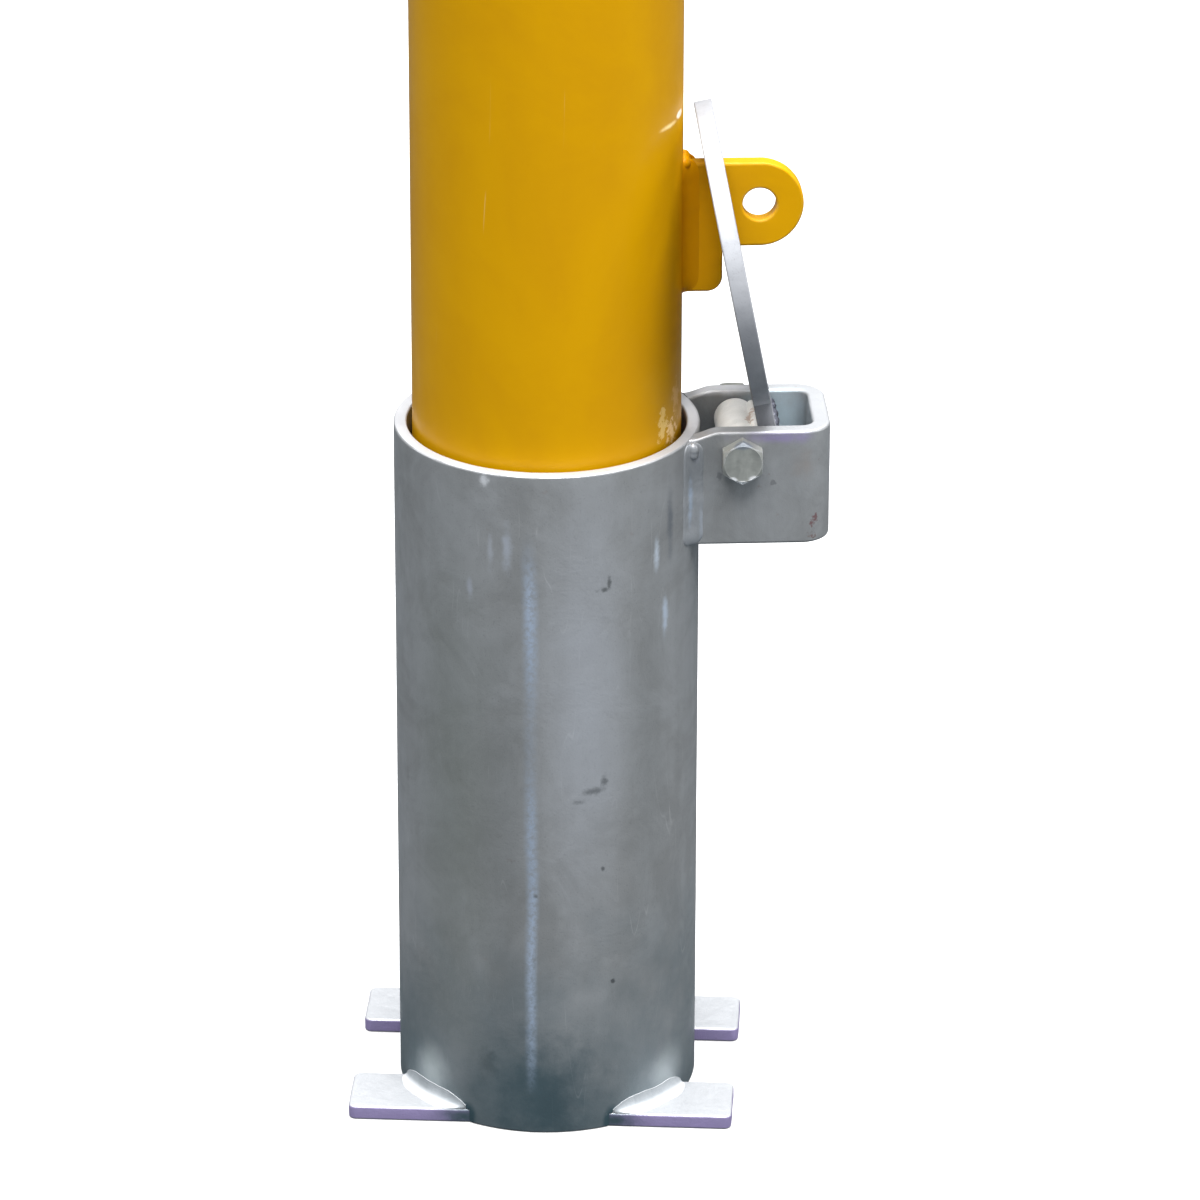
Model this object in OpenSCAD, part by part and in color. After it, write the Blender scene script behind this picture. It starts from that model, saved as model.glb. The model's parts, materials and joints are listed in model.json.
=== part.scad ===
// Removable security bollard. A yellow steel post drops into a short galvanised ground
// socket. A round lid, hinged in a U bracket beside the rim, stands against the post with
// the post's lug through its slot, where a padlock keeps both in place. With the post out,
// the same lid folds down over the socket.
// Z is the socket's axis, z = 0 its bottom face, and the hinge is on the +X side.

/* [Ground socket] */
// Outside diameter of the socket tube
socket_d = 101.6; // [84:0.1:125]
// Wall of the socket tube
socket_wall = 4.5; // [3:0.1:6]
// Length of the socket tube
socket_len = 240; // [150:5:400]

/* [Anchor bars] */
// Width of the flat bars across the bottom of the tube
bar_w = 25; // [15:1:32]
// Thickness of the flat bars
bar_t = 5; // [3:0.5:10]
// How far each bar end stands out past the tube
bar_overhang = 14.2; // [8:0.1:40]
// Distance from the tube's outside to the outer edge of each bar
bar_inset = 6.3; // [3:0.1:12]
// Angle between the bars and the hinge side of the socket
bar_skew = 6; // [0:1:12]
// Corner radius of the bar ends
bar_corner = 2.5; // [0.5:0.5:5]

/* [Hinge bracket] */
// Depth of the flat bar that the bracket is bent from
bracket_h = 40; // [32:1:60]
// Thickness of that bar
bracket_t = 6; // [4:0.5:8]
// Clear width between the legs
bracket_in = 30.6; // [24:0.1:40]
// How far the closed end stands out from the tube
bracket_reach = 42.1; // [38:0.1:60]
// How far the bracket's top stands above the socket rim
bracket_rise = 2.5; // [0:0.5:3]
// Outside radius of the two bends
bend_r = 10; // [8:0.5:14]
// Length over which the top edge climbs from the rim to full height
ramp_len = 9; // [5:1:14]

/* [Hinge] */
// Distance from the tube's outside to the hinge axis
hinge_reach = 12.4; // [11:0.1:15]
// Diameter of the hinge bolt
bolt_d = 8; // [6:0.5:8.5]
// Width across flats of the bolt head and the nut
hex_af = 13; // [12:0.5:16]
// Thickness of the bolt head
head_h = 5.3; // [4:0.1:7]
// Outside diameter of the washer
washer_d = 16; // [14:0.5:20]
// Thickness of the washer
washer_t = 1.6; // [1:0.1:2.5]
// Height of the lock nut
nut_h = 8; // [6.5:0.1:10]
// Bolt thread left standing past the nut
bolt_tail = 2.8; // [1:0.1:6]
// Outside diameter of the hinge barrel
barrel_d = 14; // [12:0.5:16]

/* [Lid] */
// Thickness of the lid plate
lid_t = 6; // [4:0.5:8]
// Width of the slot that the lug's eye goes through
slot_w = 10; // [8:0.5:14]
// How much each side of the tongue is narrower than the barrel
tongue_inset = 1.5; // [0.5:0.5:4]

/* [Post] */
// Radial gap between the post and the socket's bore
post_gap = 1.85; // [0.5:0.05:4]
// Wall of the post tube
post_wall = 3.2; // [2:0.1:5]
// Height of the post's top above the socket rim
post_rise = 900; // [600:10:1200]
// Thickness of the cap plate
cap_t = 3; // [2:0.5:5]
// Height of the cap's dome
cap_rise = 12; // [6:1:20]
// Height of the cap's straight edge
cap_edge = 4; // [3:0.5:8]

/* [Padlock lug] */
// Thickness of the lug plate
lug_t = 6; // [4:0.5:8]
// Height of the lug's lower edge above the rim
lug_low = 44.8; // [38:0.1:50]
// Height of the eye's lower edge above the rim
eye_low = 60.5; // [58:0.1:75]
// Height of the eye, top to bottom
eye_h = 29; // [24:0.5:32]
// How far the lug's shoulder stands out from the post
shoulder_reach = 12.95; // [10:0.05:16]
// How far the tip of the eye stands out from the post
eye_reach = 39.45; // [36:0.05:50]
// Diameter of the padlock hole
padlock_d = 11; // [8:0.5:13]
// Radius of the lug's lower corner
lug_corner = 5; // [2:0.5:10]

/* [Welds] */
// Leg length of the fillet welds
weld_leg = 5; // [3:0.5:6]
// How far the cap's seam bead stands out
seam_bead = 0.8; // [0.3:0.1:1.5]

/* [Clearances] */
// Gap at flat seats between pieces that move apart
rest_gap = 0.3; // [0.1:0.1:1]
// Gap round the bars in the tube's notches
notch_gap = 0.2; // [0:0.1:1]
// Radial gap between the bolt and the bracket's holes
hole_gap = 0.25; // [0.1:0.05:1]
// Radial running gap between the bolt and the barrel
running_gap = 0.08; // [0.03:0.01:0.1]
// Gap at each end of the barrel
barrel_end_gap = 0.8; // [0.3:0.1:2]
// Gap between the eye and the ends of the slot as the lid swings
slot_gap = 1.5; // [0.8:0.1:3]
// How far the post can be lifted while the lid is locked
lift_play = 3.5; // [1:0.5:6]

/* [Hidden] */

$fn = 96;
cut = 1;                                    // how far a cutting shape runs past a face
socket_r = socket_d / 2;
bar_y = socket_r - bar_inset - bar_w / 2;
bar_len = socket_d + 2 * bar_overhang;

leg_in = bracket_in / 2;
leg_out = leg_in + bracket_t;
leg_root_x = sqrt(socket_r ^ 2 - leg_out ^ 2);
bracket_top = socket_len + bracket_rise;
bracket_bottom = bracket_top - bracket_h;
bracket_end = socket_r + bracket_reach;

hinge_x = socket_r + hinge_reach;
hinge_z = socket_len - barrel_d / 2 + rest_gap;
barrel_len = bracket_in - 2 * barrel_end_gap;
tongue_w = barrel_len - 2 * tongue_inset;
collar_h = nut_h * 0.2;                     // the nut's round collar over its plastic ring
insert_h = collar_h * 0.8;
insert_d = (bolt_d + hex_af) / 2;

post_r = socket_r - socket_wall - post_gap;
post_foot = bar_t + rest_gap;
post_top = socket_len + post_rise;
tube_top = post_top - cap_rise - cap_edge;
dome_r = (post_r ^ 2 + cap_rise ^ 2) / (2 * cap_rise);

shoulder_x = post_r + shoulder_reach;
eye_r = eye_h / 2;
eye_x = post_r + eye_reach - eye_r;
eye_z = socket_len + eye_low + eye_r;
lug_bottom = socket_len + lug_low;
eye_bottom = eye_z - eye_r;
eye_top = eye_z + eye_r;

// The lid's own frame: its hinge axis is Y, z runs along the plate from the hinge and x is
// the distance from the axis. The slot's ends clear the eye all the way round the hinge.
lid_in = barrel_d / 2;
lid_out = lid_in + lid_t;
slot_low = sqrt((eye_bottom - hinge_z - slot_gap) ^ 2 - lid_out ^ 2);
eye_far = norm([eye_x - hinge_x, eye_z - hinge_z]) + eye_r;
slot_high = sqrt((eye_far + lift_play + slot_gap) ^ 2 - lid_in ^ 2);
// Lean at which the point at height s of the lid's inner face comes rest_gap short of x
function lean_to(x, s) = acos((x + rest_gap - hinge_x) / norm([lid_in, s])) - atan2(s, lid_in);
// The standing lid leans on the lug's shoulder, or on the post itself if its top gets there
lid_lean = min(lean_to(shoulder_x, slot_low), lean_to(post_r, hinge_x + socket_r));

// Puts a piece drawn on the +Y side on the front, -Y, or leaves it at the rear
module on_side(front) {
    mirror([0, front ? 1 : 0, 0]) children();
}

// Turns the XY plane of its children into the XZ plane, with their height centred on Y
module upright(depth) {
    rotate([90, 0, 0]) linear_extrude(depth, center = true) children();
}

module rounded_rect(length, width, r) {
    square([length - 2 * r, width], center = true);
    square([length, width - 2 * r], center = true);
    for (x = [-1, 1], y = [-1, 1])
        translate([x * (length / 2 - r), y * (width / 2 - r)]) circle(r);
}

module bar_outline(side, grow = 0) {
    rotate(-bar_skew) translate([0, side * bar_y])
        rounded_rect(bar_len + 2 * grow, bar_w + 2 * grow, bar_corner);
}

module socket_tube() {
    color("lightslategray") difference() {
        cylinder(h = socket_len, d = socket_d);
        translate([0, 0, -cut]) cylinder(h = socket_len + 2 * cut, r = socket_r - socket_wall);
        for (side = [-1, 1])
            translate([0, 0, -cut]) linear_extrude(cut + bar_t + notch_gap)
                bar_outline(side, notch_gap);
    }
}

module anchor_bar(side) {
    color("slategray") linear_extrude(bar_t) bar_outline(side);
}

// A fillet at each end of a bar, on its top face against the tube
module anchor_weld(side) {
    color("gray") intersection() {
        rotate_extrude() translate([socket_r, bar_t])
            polygon([[0, 0], [weld_leg, 0], [0, weld_leg]]);
        translate([0, 0, bar_t]) linear_extrude(weld_leg) bar_outline(side);
    }
}

module bracket_outline(half, end_x, r) {
    translate([0, -half]) square([end_x - r, 2 * half]);
    translate([0, r - half]) square([end_x, 2 * (half - r)]);
    for (y = [-1, 1]) translate([end_x - r, y * (half - r)]) circle(r);
}

module hinge_bracket() {
    color("lightslategray") difference() {
        translate([0, 0, bracket_bottom]) linear_extrude(bracket_h) difference() {
            bracket_outline(leg_out, bracket_end, bend_r);
            bracket_outline(leg_in, bracket_end - bracket_t, bend_r - bracket_t);
        }
        translate([0, 0, bracket_bottom - cut]) cylinder(h = bracket_h + 2 * cut, r = socket_r);
        upright(2 * leg_out + 2 * cut) polygon([
            [0, socket_len], [leg_root_x, socket_len],
            [leg_root_x + ramp_len, bracket_top],
            [leg_root_x + ramp_len, bracket_top + cut], [0, bracket_top + cut]]);
        translate([hinge_x, 0, hinge_z]) rotate([90, 0, 0])
            cylinder(h = 2 * leg_out + 2 * cut, d = bolt_d + 2 * hole_gap, center = true);
    }
}

// The bead between a leg's outer face and the tube
module bracket_weld(front) {
    bead_angle = atan2(leg_out, leg_root_x) + weld_leg / socket_r * 180 / PI;
    color("gray") on_side(front) difference() {
        translate([0, 0, bracket_bottom]) linear_extrude(socket_len - bracket_bottom) polygon([
            [leg_root_x - cut, leg_out], [leg_root_x + weld_leg, leg_out],
            [socket_r * cos(bead_angle), socket_r * sin(bead_angle)]]);
        translate([0, 0, bracket_bottom - cut]) cylinder(h = bracket_h + 2 * cut, r = socket_r);
    }
}

// Hexagon with one corner up, the corners of its outer end chamfered at 30 degrees
module hex_block(height) {
    crown_d = hex_af * 0.95;
    intersection() {
        rotate([0, 0, 30]) cylinder(h = height, d = hex_af / cos(30), $fn = 6);
        cylinder(h = height, d1 = crown_d + 2 * height / tan(30), d2 = crown_d);
    }
}

module on_hinge(y = 0) {
    translate([hinge_x, y, hinge_z]) children();
}

module hinge_bolt() {
    shank = 2 * leg_out + washer_t + nut_h + bolt_tail;
    tip = bolt_d / 8;
    color("silver") on_hinge(-leg_out) {
        rotate([90, 0, 0]) hex_block(head_h);
        rotate([-90, 0, 0]) cylinder(h = shank - tip, d = bolt_d);
        translate([0, shank - tip, 0]) rotate([-90, 0, 0])
            cylinder(h = tip, d1 = bolt_d, d2 = bolt_d - 2 * tip);
    }
}

module nut_washer() {
    color("silver") on_hinge(leg_out) rotate([-90, 0, 0]) difference() {
        cylinder(h = washer_t, d = washer_d);
        translate([0, 0, -cut]) cylinder(h = washer_t + 2 * cut, d = bolt_d + 2 * hole_gap);
    }
}

module hinge_nut() {
    color("silver") on_hinge(leg_out + washer_t) rotate([-90, 0, 0]) difference() {
        union() {
            hex_block(nut_h - collar_h);
            cylinder(h = nut_h, d = hex_af * 0.9);
        }
        translate([0, 0, -cut]) cylinder(h = nut_h + 2 * cut, d = bolt_d);
        translate([0, 0, nut_h - collar_h]) cylinder(h = insert_h, d = insert_d);
    }
}

module nut_insert() {
    color("royalblue") on_hinge(leg_out + washer_t + nut_h - collar_h)
        rotate([-90, 0, 0]) difference() {
            cylinder(h = insert_h, d = insert_d);
            translate([0, 0, -cut]) cylinder(h = insert_h + 2 * cut, d = bolt_d);
        }
}

module on_lid() {
    on_hinge() rotate([0, -lid_lean, 0]) children();
}

module lid_plate() {
    color("lightsteelblue") on_lid() translate([lid_in, 0, 0]) rotate([0, 90, 0])
        linear_extrude(lid_t) difference() {
            union() {
                translate([-hinge_x, 0]) circle(d = socket_d);
                translate([-hinge_x, -tongue_w / 2]) square([hinge_x + lid_t / 2, tongue_w]);
            }
            translate([-slot_high, -slot_w / 2]) square([slot_high - slot_low, slot_w]);
        }
}

module hinge_barrel() {
    color("lightsteelblue") on_lid() rotate([90, 0, 0]) difference() {
        cylinder(h = barrel_len, d = barrel_d, center = true);
        cylinder(h = barrel_len + 2 * cut, d = bolt_d + 2 * running_gap, center = true);
    }
}

// The bead in the corner between the lid's tongue and the barrel
module lid_weld() {
    color("gray") on_lid() difference() {
        upright(tongue_w) polygon([[lid_in * 0.6, 0], [lid_in, 0],
            [lid_in, lid_in], [lid_in * 0.6, lid_in * 0.7]]);
        rotate([90, 0, 0]) cylinder(h = barrel_len + 2 * cut, d = barrel_d, center = true);
    }
}

module post_tube() {
    color("gold") translate([0, 0, post_foot]) difference() {
        cylinder(h = tube_top - post_foot, r = post_r);
        translate([0, 0, -cut])
            cylinder(h = tube_top - post_foot + 2 * cut, r = post_r - post_wall);
    }
}

module post_cap() {
    color("gold") translate([0, 0, tube_top]) difference() {
        intersection() {
            cylinder(h = cap_edge + cap_rise, r = post_r);
            translate([0, 0, cap_edge + cap_rise - dome_r]) sphere(dome_r);
        }
        intersection() {
            translate([0, 0, -cut])
                cylinder(h = cut + cap_edge + cap_rise, r = post_r - post_wall);
            translate([0, 0, cap_edge + cap_rise - dome_r]) sphere(dome_r - cap_t);
        }
    }
}

module cap_weld() {
    color("gold") rotate_extrude() translate([post_r, tube_top])
        polygon([[0, -2 * seam_bead], [seam_bead, -seam_bead], [seam_bead, seam_bead],
            [0, 2 * seam_bead]]);
}

module lug_outline() {
    translate([0, lug_bottom + lug_corner])
        square([shoulder_x, eye_top - lug_bottom - lug_corner]);
    translate([0, lug_bottom]) square([shoulder_x - lug_corner, eye_top - lug_bottom]);
    translate([shoulder_x - lug_corner, lug_bottom + lug_corner]) circle(lug_corner);
    translate([0, eye_bottom]) square([eye_x, eye_h]);
    translate([eye_x, eye_z]) circle(eye_r);
}

module padlock_lug() {
    color("gold") difference() {
        upright(lug_t) difference() {
            lug_outline();
            translate([eye_x, eye_z]) circle(d = padlock_d);
        }
        translate([0, 0, lug_bottom - cut])
            cylinder(h = eye_top - lug_bottom + 2 * cut, r = post_r);
    }
}

// The bead between one side of the lug and the post
module lug_weld(front) {
    side = lug_t / 2;
    color("goldenrod") on_side(front) difference() {
        translate([0, 0, lug_bottom]) linear_extrude(eye_top - lug_bottom) polygon([
            [post_r - cut, side], [post_r + weld_leg, side],
            [post_r - cut, side + weld_leg + cut]]);
        translate([0, 0, lug_bottom - cut])
            cylinder(h = eye_top - lug_bottom + 2 * cut, r = post_r);
    }
}

socket_tube();
anchor_bar(-1);  // anchor_bar_front
anchor_bar(1);  // anchor_bar_rear
anchor_weld(-1);  // anchor_weld_front
anchor_weld(1);  // anchor_weld_rear
hinge_bracket();
bracket_weld(true);  // bracket_weld_front
bracket_weld(false);  // bracket_weld_rear
hinge_bolt();
nut_washer();
hinge_nut();
nut_insert();
lid_plate();
hinge_barrel();
lid_weld();
post_tube();
padlock_lug();
lug_weld(true);  // lug_weld_front
lug_weld(false);  // lug_weld_rear
post_cap();
cap_weld();
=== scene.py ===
"""Looks of the removable bollard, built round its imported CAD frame.

The ground socket, the hinge, the lid and the post are classes. Each takes its sizes from the
frame, builds its pieces in metres in the CAD frame and dresses them in procedural finishes.
"""

import json
import logging
import math
from collections.abc import Iterator, Sequence
from dataclasses import dataclass
from enum import Enum
from typing import Any

import bmesh
import bpy
from mathutils import Matrix, Vector, noise


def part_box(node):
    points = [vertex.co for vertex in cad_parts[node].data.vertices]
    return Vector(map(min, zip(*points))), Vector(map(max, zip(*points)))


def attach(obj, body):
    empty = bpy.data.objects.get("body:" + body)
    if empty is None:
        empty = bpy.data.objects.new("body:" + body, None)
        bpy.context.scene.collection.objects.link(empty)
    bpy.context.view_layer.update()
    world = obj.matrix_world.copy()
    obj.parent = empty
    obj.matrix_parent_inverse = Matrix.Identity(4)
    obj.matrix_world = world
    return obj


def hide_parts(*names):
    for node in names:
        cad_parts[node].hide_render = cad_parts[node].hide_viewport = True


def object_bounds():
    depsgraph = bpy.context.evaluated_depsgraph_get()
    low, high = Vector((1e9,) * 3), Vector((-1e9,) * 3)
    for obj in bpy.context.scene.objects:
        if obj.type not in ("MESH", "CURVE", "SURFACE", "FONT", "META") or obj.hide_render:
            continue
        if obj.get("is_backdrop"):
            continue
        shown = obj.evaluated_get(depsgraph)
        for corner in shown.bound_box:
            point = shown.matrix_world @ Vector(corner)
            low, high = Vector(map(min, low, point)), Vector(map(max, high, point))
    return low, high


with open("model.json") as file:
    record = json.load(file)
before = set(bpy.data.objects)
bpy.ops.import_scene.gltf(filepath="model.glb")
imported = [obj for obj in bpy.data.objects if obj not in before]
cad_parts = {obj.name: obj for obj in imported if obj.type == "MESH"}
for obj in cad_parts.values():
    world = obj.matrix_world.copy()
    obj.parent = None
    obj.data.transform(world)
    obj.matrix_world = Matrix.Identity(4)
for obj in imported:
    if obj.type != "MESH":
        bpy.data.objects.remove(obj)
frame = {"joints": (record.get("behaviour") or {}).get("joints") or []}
CAD_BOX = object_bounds()

LOG = logging.getLogger("bollard")
MM = 0.001
TURN = 2 * math.pi
HINGE = Vector(next(j["pos_m"] for j in frame["joints"] if j["name"] == "lid_hinge"))
SEAM_ANGLE = math.radians(-98.6)

Point = tuple[float, float]
Place = tuple[float, float, float]
Colour = tuple[float, float, float]
Tint = tuple[int, int, int]
Piece = bpy.types.Object
Mesh = bpy.types.Mesh
Tree = bpy.types.NodeTree
Node = bpy.types.Node
Socket = bpy.types.NodeSocket


class Body(Enum):
    """The bodies that move on their own."""

    SOCKET = "socket"
    LID = "lid"
    POST = "post"


class Slot(Enum):
    """The record's material slots."""

    SOCKET = "galvanised"
    LID = "galvanised_lid"
    WELD = "weld_zinc"
    COAT = "yellow_coat"
    FASTENER = "zinc_fastener"
    NYLON = "nylon"


class Side(Enum):
    """Front is -Y, towards the bolt's head, and rear is +Y."""

    FRONT = -1
    REAR = 1

    @property
    def label(self) -> str:
        """The side's name as the CAD nodes use it."""
        return self.name.lower()


def srgb(red: int, green: int, blue: int) -> Colour:
    """Linear colour of an 8-bit screen colour."""
    parts = (c / 255 for c in (red, green, blue))
    return tuple(c / 12.92 if c < 0.04045 else ((c + 0.055) / 1.055) ** 2.4 for c in parts)


# ---------------------------------------------------------------- node trees


class Graph:
    """A shader or geometry tree under construction."""

    def __init__(self, tree: Tree) -> None:
        """Starts on a tree."""
        self.tree = tree

    @classmethod
    def group(
        cls, name: str, kind: str, inputs: dict[str, Any], outputs: dict[str, str]
    ) -> tuple["Graph", dict[str, Socket], Node]:
        """Makes a node group with named sockets.

        Args:
            name: The group's name.
            kind: The tree type.
            inputs: Default of each input, or its socket type where it has none.
            outputs: Socket type of each output.

        Returns:
            The graph, its input values by name, and its output node.
        """
        tree = bpy.data.node_groups.new(name, kind)
        kinds = {float: "Float", int: "Int", tuple: "Vector"}
        for label, default in inputs.items():
            socket = kinds.get(type(default), default)
            made = tree.interface.new_socket(
                label, in_out="INPUT", socket_type=f"NodeSocket{socket}"
            )
            if socket != default:
                made.default_value = default
        for label, socket in outputs.items():
            tree.interface.new_socket(label, in_out="OUTPUT", socket_type=f"NodeSocket{socket}")
        source = tree.nodes.new("NodeGroupInput")
        sink = tree.nodes.new("NodeGroupOutput")
        return cls(tree), {s.name: s for s in source.outputs if s.name}, sink

    def feed(self, node: Node, key: str | int, value: Any) -> None:
        """Links a socket or a node's first output to an input, or sets the input's value."""
        socket = node.inputs[key]
        if isinstance(value, Node):
            value = value.outputs[0]
        if isinstance(value, Socket):
            self.tree.links.new(value, socket)
        elif socket.type == "RGBA":
            socket.default_value = (*value, 1.0)
        else:
            socket.default_value = value

    def add(self, kind: str, inputs: dict[str | int, Any] | None = None, **settings: Any) -> Node:
        """Adds a node.

        Args:
            kind: The node's type.
            inputs: Its inputs, as constants, sockets or nodes.
            **settings: Its properties.

        Returns:
            The node.
        """
        node = self.tree.nodes.new(kind)
        for name, value in settings.items():
            setattr(node, name, value)
        for key, value in (inputs or {}).items():
            self.feed(node, key, value)
        return node

    def use(self, tree: Tree, **inputs: Any) -> Node:
        """Places a shader group, its inputs named with underscores for spaces."""
        node = self.add("ShaderNodeGroup", None, node_tree=tree)
        for name, value in inputs.items():
            self.feed(node, name.replace("_", " "), value)
        return node

    def math(self, operation: str, *terms: Any, clamp: bool = False) -> Socket:
        """Result of a Math node."""
        node = self.add("ShaderNodeMath", dict(enumerate(terms)), operation=operation)
        node.use_clamp = clamp
        return node.outputs[0]

    def times(self, first: Any, second: Any, clamp: bool = False) -> Socket:
        """Product of two values."""
        return self.math("MULTIPLY", first, second, clamp=clamp)

    def plus(self, first: Any, second: Any, clamp: bool = False) -> Socket:
        """Sum of two values."""
        return self.math("ADD", first, second, clamp=clamp)

    def minus(self, first: Any, second: Any) -> Socket:
        """Difference of two values."""
        return self.math("SUBTRACT", first, second)

    def combine(self, *parts: Any) -> Node:
        """Combine XYZ node."""
        return self.add("ShaderNodeCombineXYZ", dict(enumerate(parts)))

    def vector(self, operation: str, *terms: Any) -> Socket:
        """Vector result of a Vector Math node, or its value for a dot product or length."""
        node = self.add("ShaderNodeVectorMath", dict(enumerate(terms)), operation=operation)
        scalar = operation in ("DOT_PRODUCT", "LENGTH")
        return node.outputs["Value" if scalar else "Vector"]

    def fade(self, value: Any, start: Any, stop: Any, low: Any = 0.0, high: Any = 1.0) -> Socket:
        """Smooth step of a value from low at start to high at stop."""
        return self.add(
            "ShaderNodeMapRange", dict(enumerate((value, start, stop, low, high))),
            interpolation_type="SMOOTHSTEP",
        ).outputs[0]

    def noise(
        self, vector: Any, scale: Any, detail: float = 2.0, rough: float = 0.5, warp: float = 0.0
    ) -> Socket:
        """Value of a Noise Texture."""
        sockets = {
            "Vector": vector, "Scale": scale, "Detail": detail, "Roughness": rough,
            "Distortion": warp,
        }
        return self.add("ShaderNodeTexNoise", sockets).outputs[0]

    def mix(self, factor: Any, first: Any, second: Any) -> Socket:
        """Colour between two colours."""
        node = self.add("ShaderNodeMix", None, data_type="RGBA")
        for key, value in ((0, factor), (6, first), (7, second)):
            self.feed(node, key, value)
        return node.outputs[2]

    def finished(self, shape: Node, finish: Socket, sink: Node) -> Tree:
        """Ends a geometry tree: makes its shape real, sets its material and puts it out."""
        whole = self.add("GeometryNodeRealizeInstances", {0: shape})
        self.feed(sink, 0, self.add("GeometryNodeSetMaterial", {0: whole, "Material": finish}))
        return self.tree


def shared(make: Any) -> Any:
    """Makes a tree function build its tree once and give the same one after that."""
    kept: list[Tree] = []

    def once() -> Tree:
        """Gives the tree."""
        if not kept:
            kept.append(make())
        return kept[0]

    return once


@shared
def patina_group() -> Tree:
    """Builds the cloudy mottle and fine grain of zinc or paint."""
    g, source, sink = Graph.group(
        "patina", "ShaderNodeTree", {"Vector": "Vector", "Scale": 30.0, "Spangle": 0.3},
        {"Tone": "Float", "Grain": "Float"},
    )
    spot, scale = source["Vector"], source["Scale"]
    cloud = g.noise(spot, scale, 5.0, 0.62, 0.6)
    drawn = g.noise(g.vector("MULTIPLY", spot, (1.0, 1.0, 0.16)), g.times(scale, 2.3), 3.0, 0.55)
    flake = g.add(
        "ShaderNodeTexVoronoi", {"Vector": spot, "Scale": g.times(scale, 7.0)}, feature="SMOOTH_F1",
    )
    flake_tone = g.add("ShaderNodeSeparateColor", {0: flake.outputs["Color"]}).outputs[0]
    soft = g.plus(g.times(cloud, 0.7), g.times(drawn, 0.3))
    bias = g.times(g.minus(flake_tone, 0.5), source["Spangle"])
    tone = g.plus(g.fade(soft, 0.34, 0.66), bias, clamp=True)
    grain = g.noise(spot, g.times(scale, 45.0), 3.0, 0.6)
    g.feed(sink, "Tone", tone)
    g.feed(sink, "Grain", grain)
    return g.tree


@shared
def edge_wear_and_shade_group() -> Tree:
    """Builds the mask of worn or thinly covered edges, which some zinc finishes also use to paint
    shade on rounded edges.
    """
    g, source, sink = Graph.group(
        "edge wear and shade", "ShaderNodeTree",
        {"Vector": "Vector", "Radius": 0.001, "Amount": 1.0, "Breakup": 120.0}, {"Mask": "Float"},
    )
    turned = g.add("ShaderNodeBevel", {"Radius": source["Radius"]}, samples=4)
    flat = g.add("ShaderNodeNewGeometry").outputs["Normal"]
    bend = g.minus(1.0, g.vector("DOT_PRODUCT", turned, flat))
    broken = g.fade(g.noise(source["Vector"], source["Breakup"], 4.0, 0.6), 0.35, 0.65)
    edge = g.times(g.fade(bend, 0.01, 0.16), source["Amount"])
    g.feed(sink, "Mask", g.times(edge, broken, clamp=True))
    return g.tree


@shared
def patch_group() -> Tree:
    """Builds the ragged mask of one local mark."""
    g, source, sink = Graph.group(
        "patch",
        "ShaderNodeTree",
        {
            "Vector": "Vector", "Centre": "Vector", "Size": (0.01, 0.01, 0.01), "Ragged": 0.5,
            "Fineness": 400.0, "Soft": 0.45,
        },
        {"Mask": "Float"},
    )
    away = g.vector(
        "DIVIDE", g.vector("SUBTRACT", source["Vector"], source["Centre"]), source["Size"]
    )
    rough = g.minus(g.noise(source["Vector"], source["Fineness"], 4.0, 0.65), 0.5)
    reach = g.plus(g.vector("LENGTH", away), g.times(rough, g.times(source["Ragged"], 5.0)))
    g.feed(sink, "Mask", g.fade(reach, 1.0, g.minus(1.0, source["Soft"])))
    return g.tree


@shared
def streak_group() -> Tree:
    """Builds the mask of a wandering line that runs down a tube about Z."""
    g, source, sink = Graph.group(
        "streak",
        "ShaderNodeTree",
        {
            "Vector": "Vector", "Angle": 0.0, "Width": 0.001,
            "Wander": 0.001, "Foot": 0.0, "Top": 0.2, "Gap": 0.1,
        },
        {"Mask": "Float"},
    )
    x, y, z = g.add("ShaderNodeSeparateXYZ", {0: source["Vector"]}).outputs
    radius = g.math("SQRT", g.plus(g.times(x, x), g.times(y, y)))
    angle = g.minus(g.math("ARCTAN2", y, x), source["Angle"])
    column = g.combine(0.0, 0.0, z)
    drift = g.minus(g.noise(column, 16.0, 3.0, 0.5), 0.5)
    around = g.times(angle, radius)
    offset = g.plus(around, g.times(drift, source["Wander"]))
    soft = g.times(source["Width"], g.fade(z, source["Foot"], source["Top"], 0.9, 1.2))
    line = g.fade(g.math("ABSOLUTE", offset), soft, 0.0)
    low_end = g.fade(z, source["Foot"], g.plus(source["Foot"], 0.006))
    ends = g.times(low_end, g.fade(z, source["Top"], g.minus(source["Top"], 0.03)))
    broken = g.fade(g.noise(source["Vector"], 520.0, 4.0, 0.7), 0.3, 0.62, 0.3, 1.0)
    beside = g.math("ABSOLUTE", g.minus(z, source["Gap"]))
    gaps = g.fade(beside, 0.006, 0.034, 0.3, 1.0)
    solid = g.times(g.times(line, ends), g.times(broken, gaps))
    g.feed(sink, "Mask", solid)
    return g.tree


@shared
def scratch_group() -> Tree:
    """Builds the mask of fine random scratches."""
    g, source, sink = Graph.group(
        "scratches", "ShaderNodeTree", {"Vector": "Vector", "Scale": 60.0, "Cover": 0.5},
        {"Mask": "Float"},
    )
    along = g.vector("MULTIPLY", source["Vector"], (1.0, 1.0, 0.12))
    field = g.noise(along, source["Scale"], 1.0, 0.5, 0.2)
    line = g.fade(g.math("ABSOLUTE", g.minus(field, 0.5)), 0.006, 0.0)
    where = g.noise(source["Vector"], g.times(source["Scale"], 0.6), 2.0)
    patchy = g.fade(g.plus(where, source["Cover"]), 1.0, 1.15)
    g.feed(sink, "Mask", g.times(line, patchy))
    return g.tree


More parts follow.
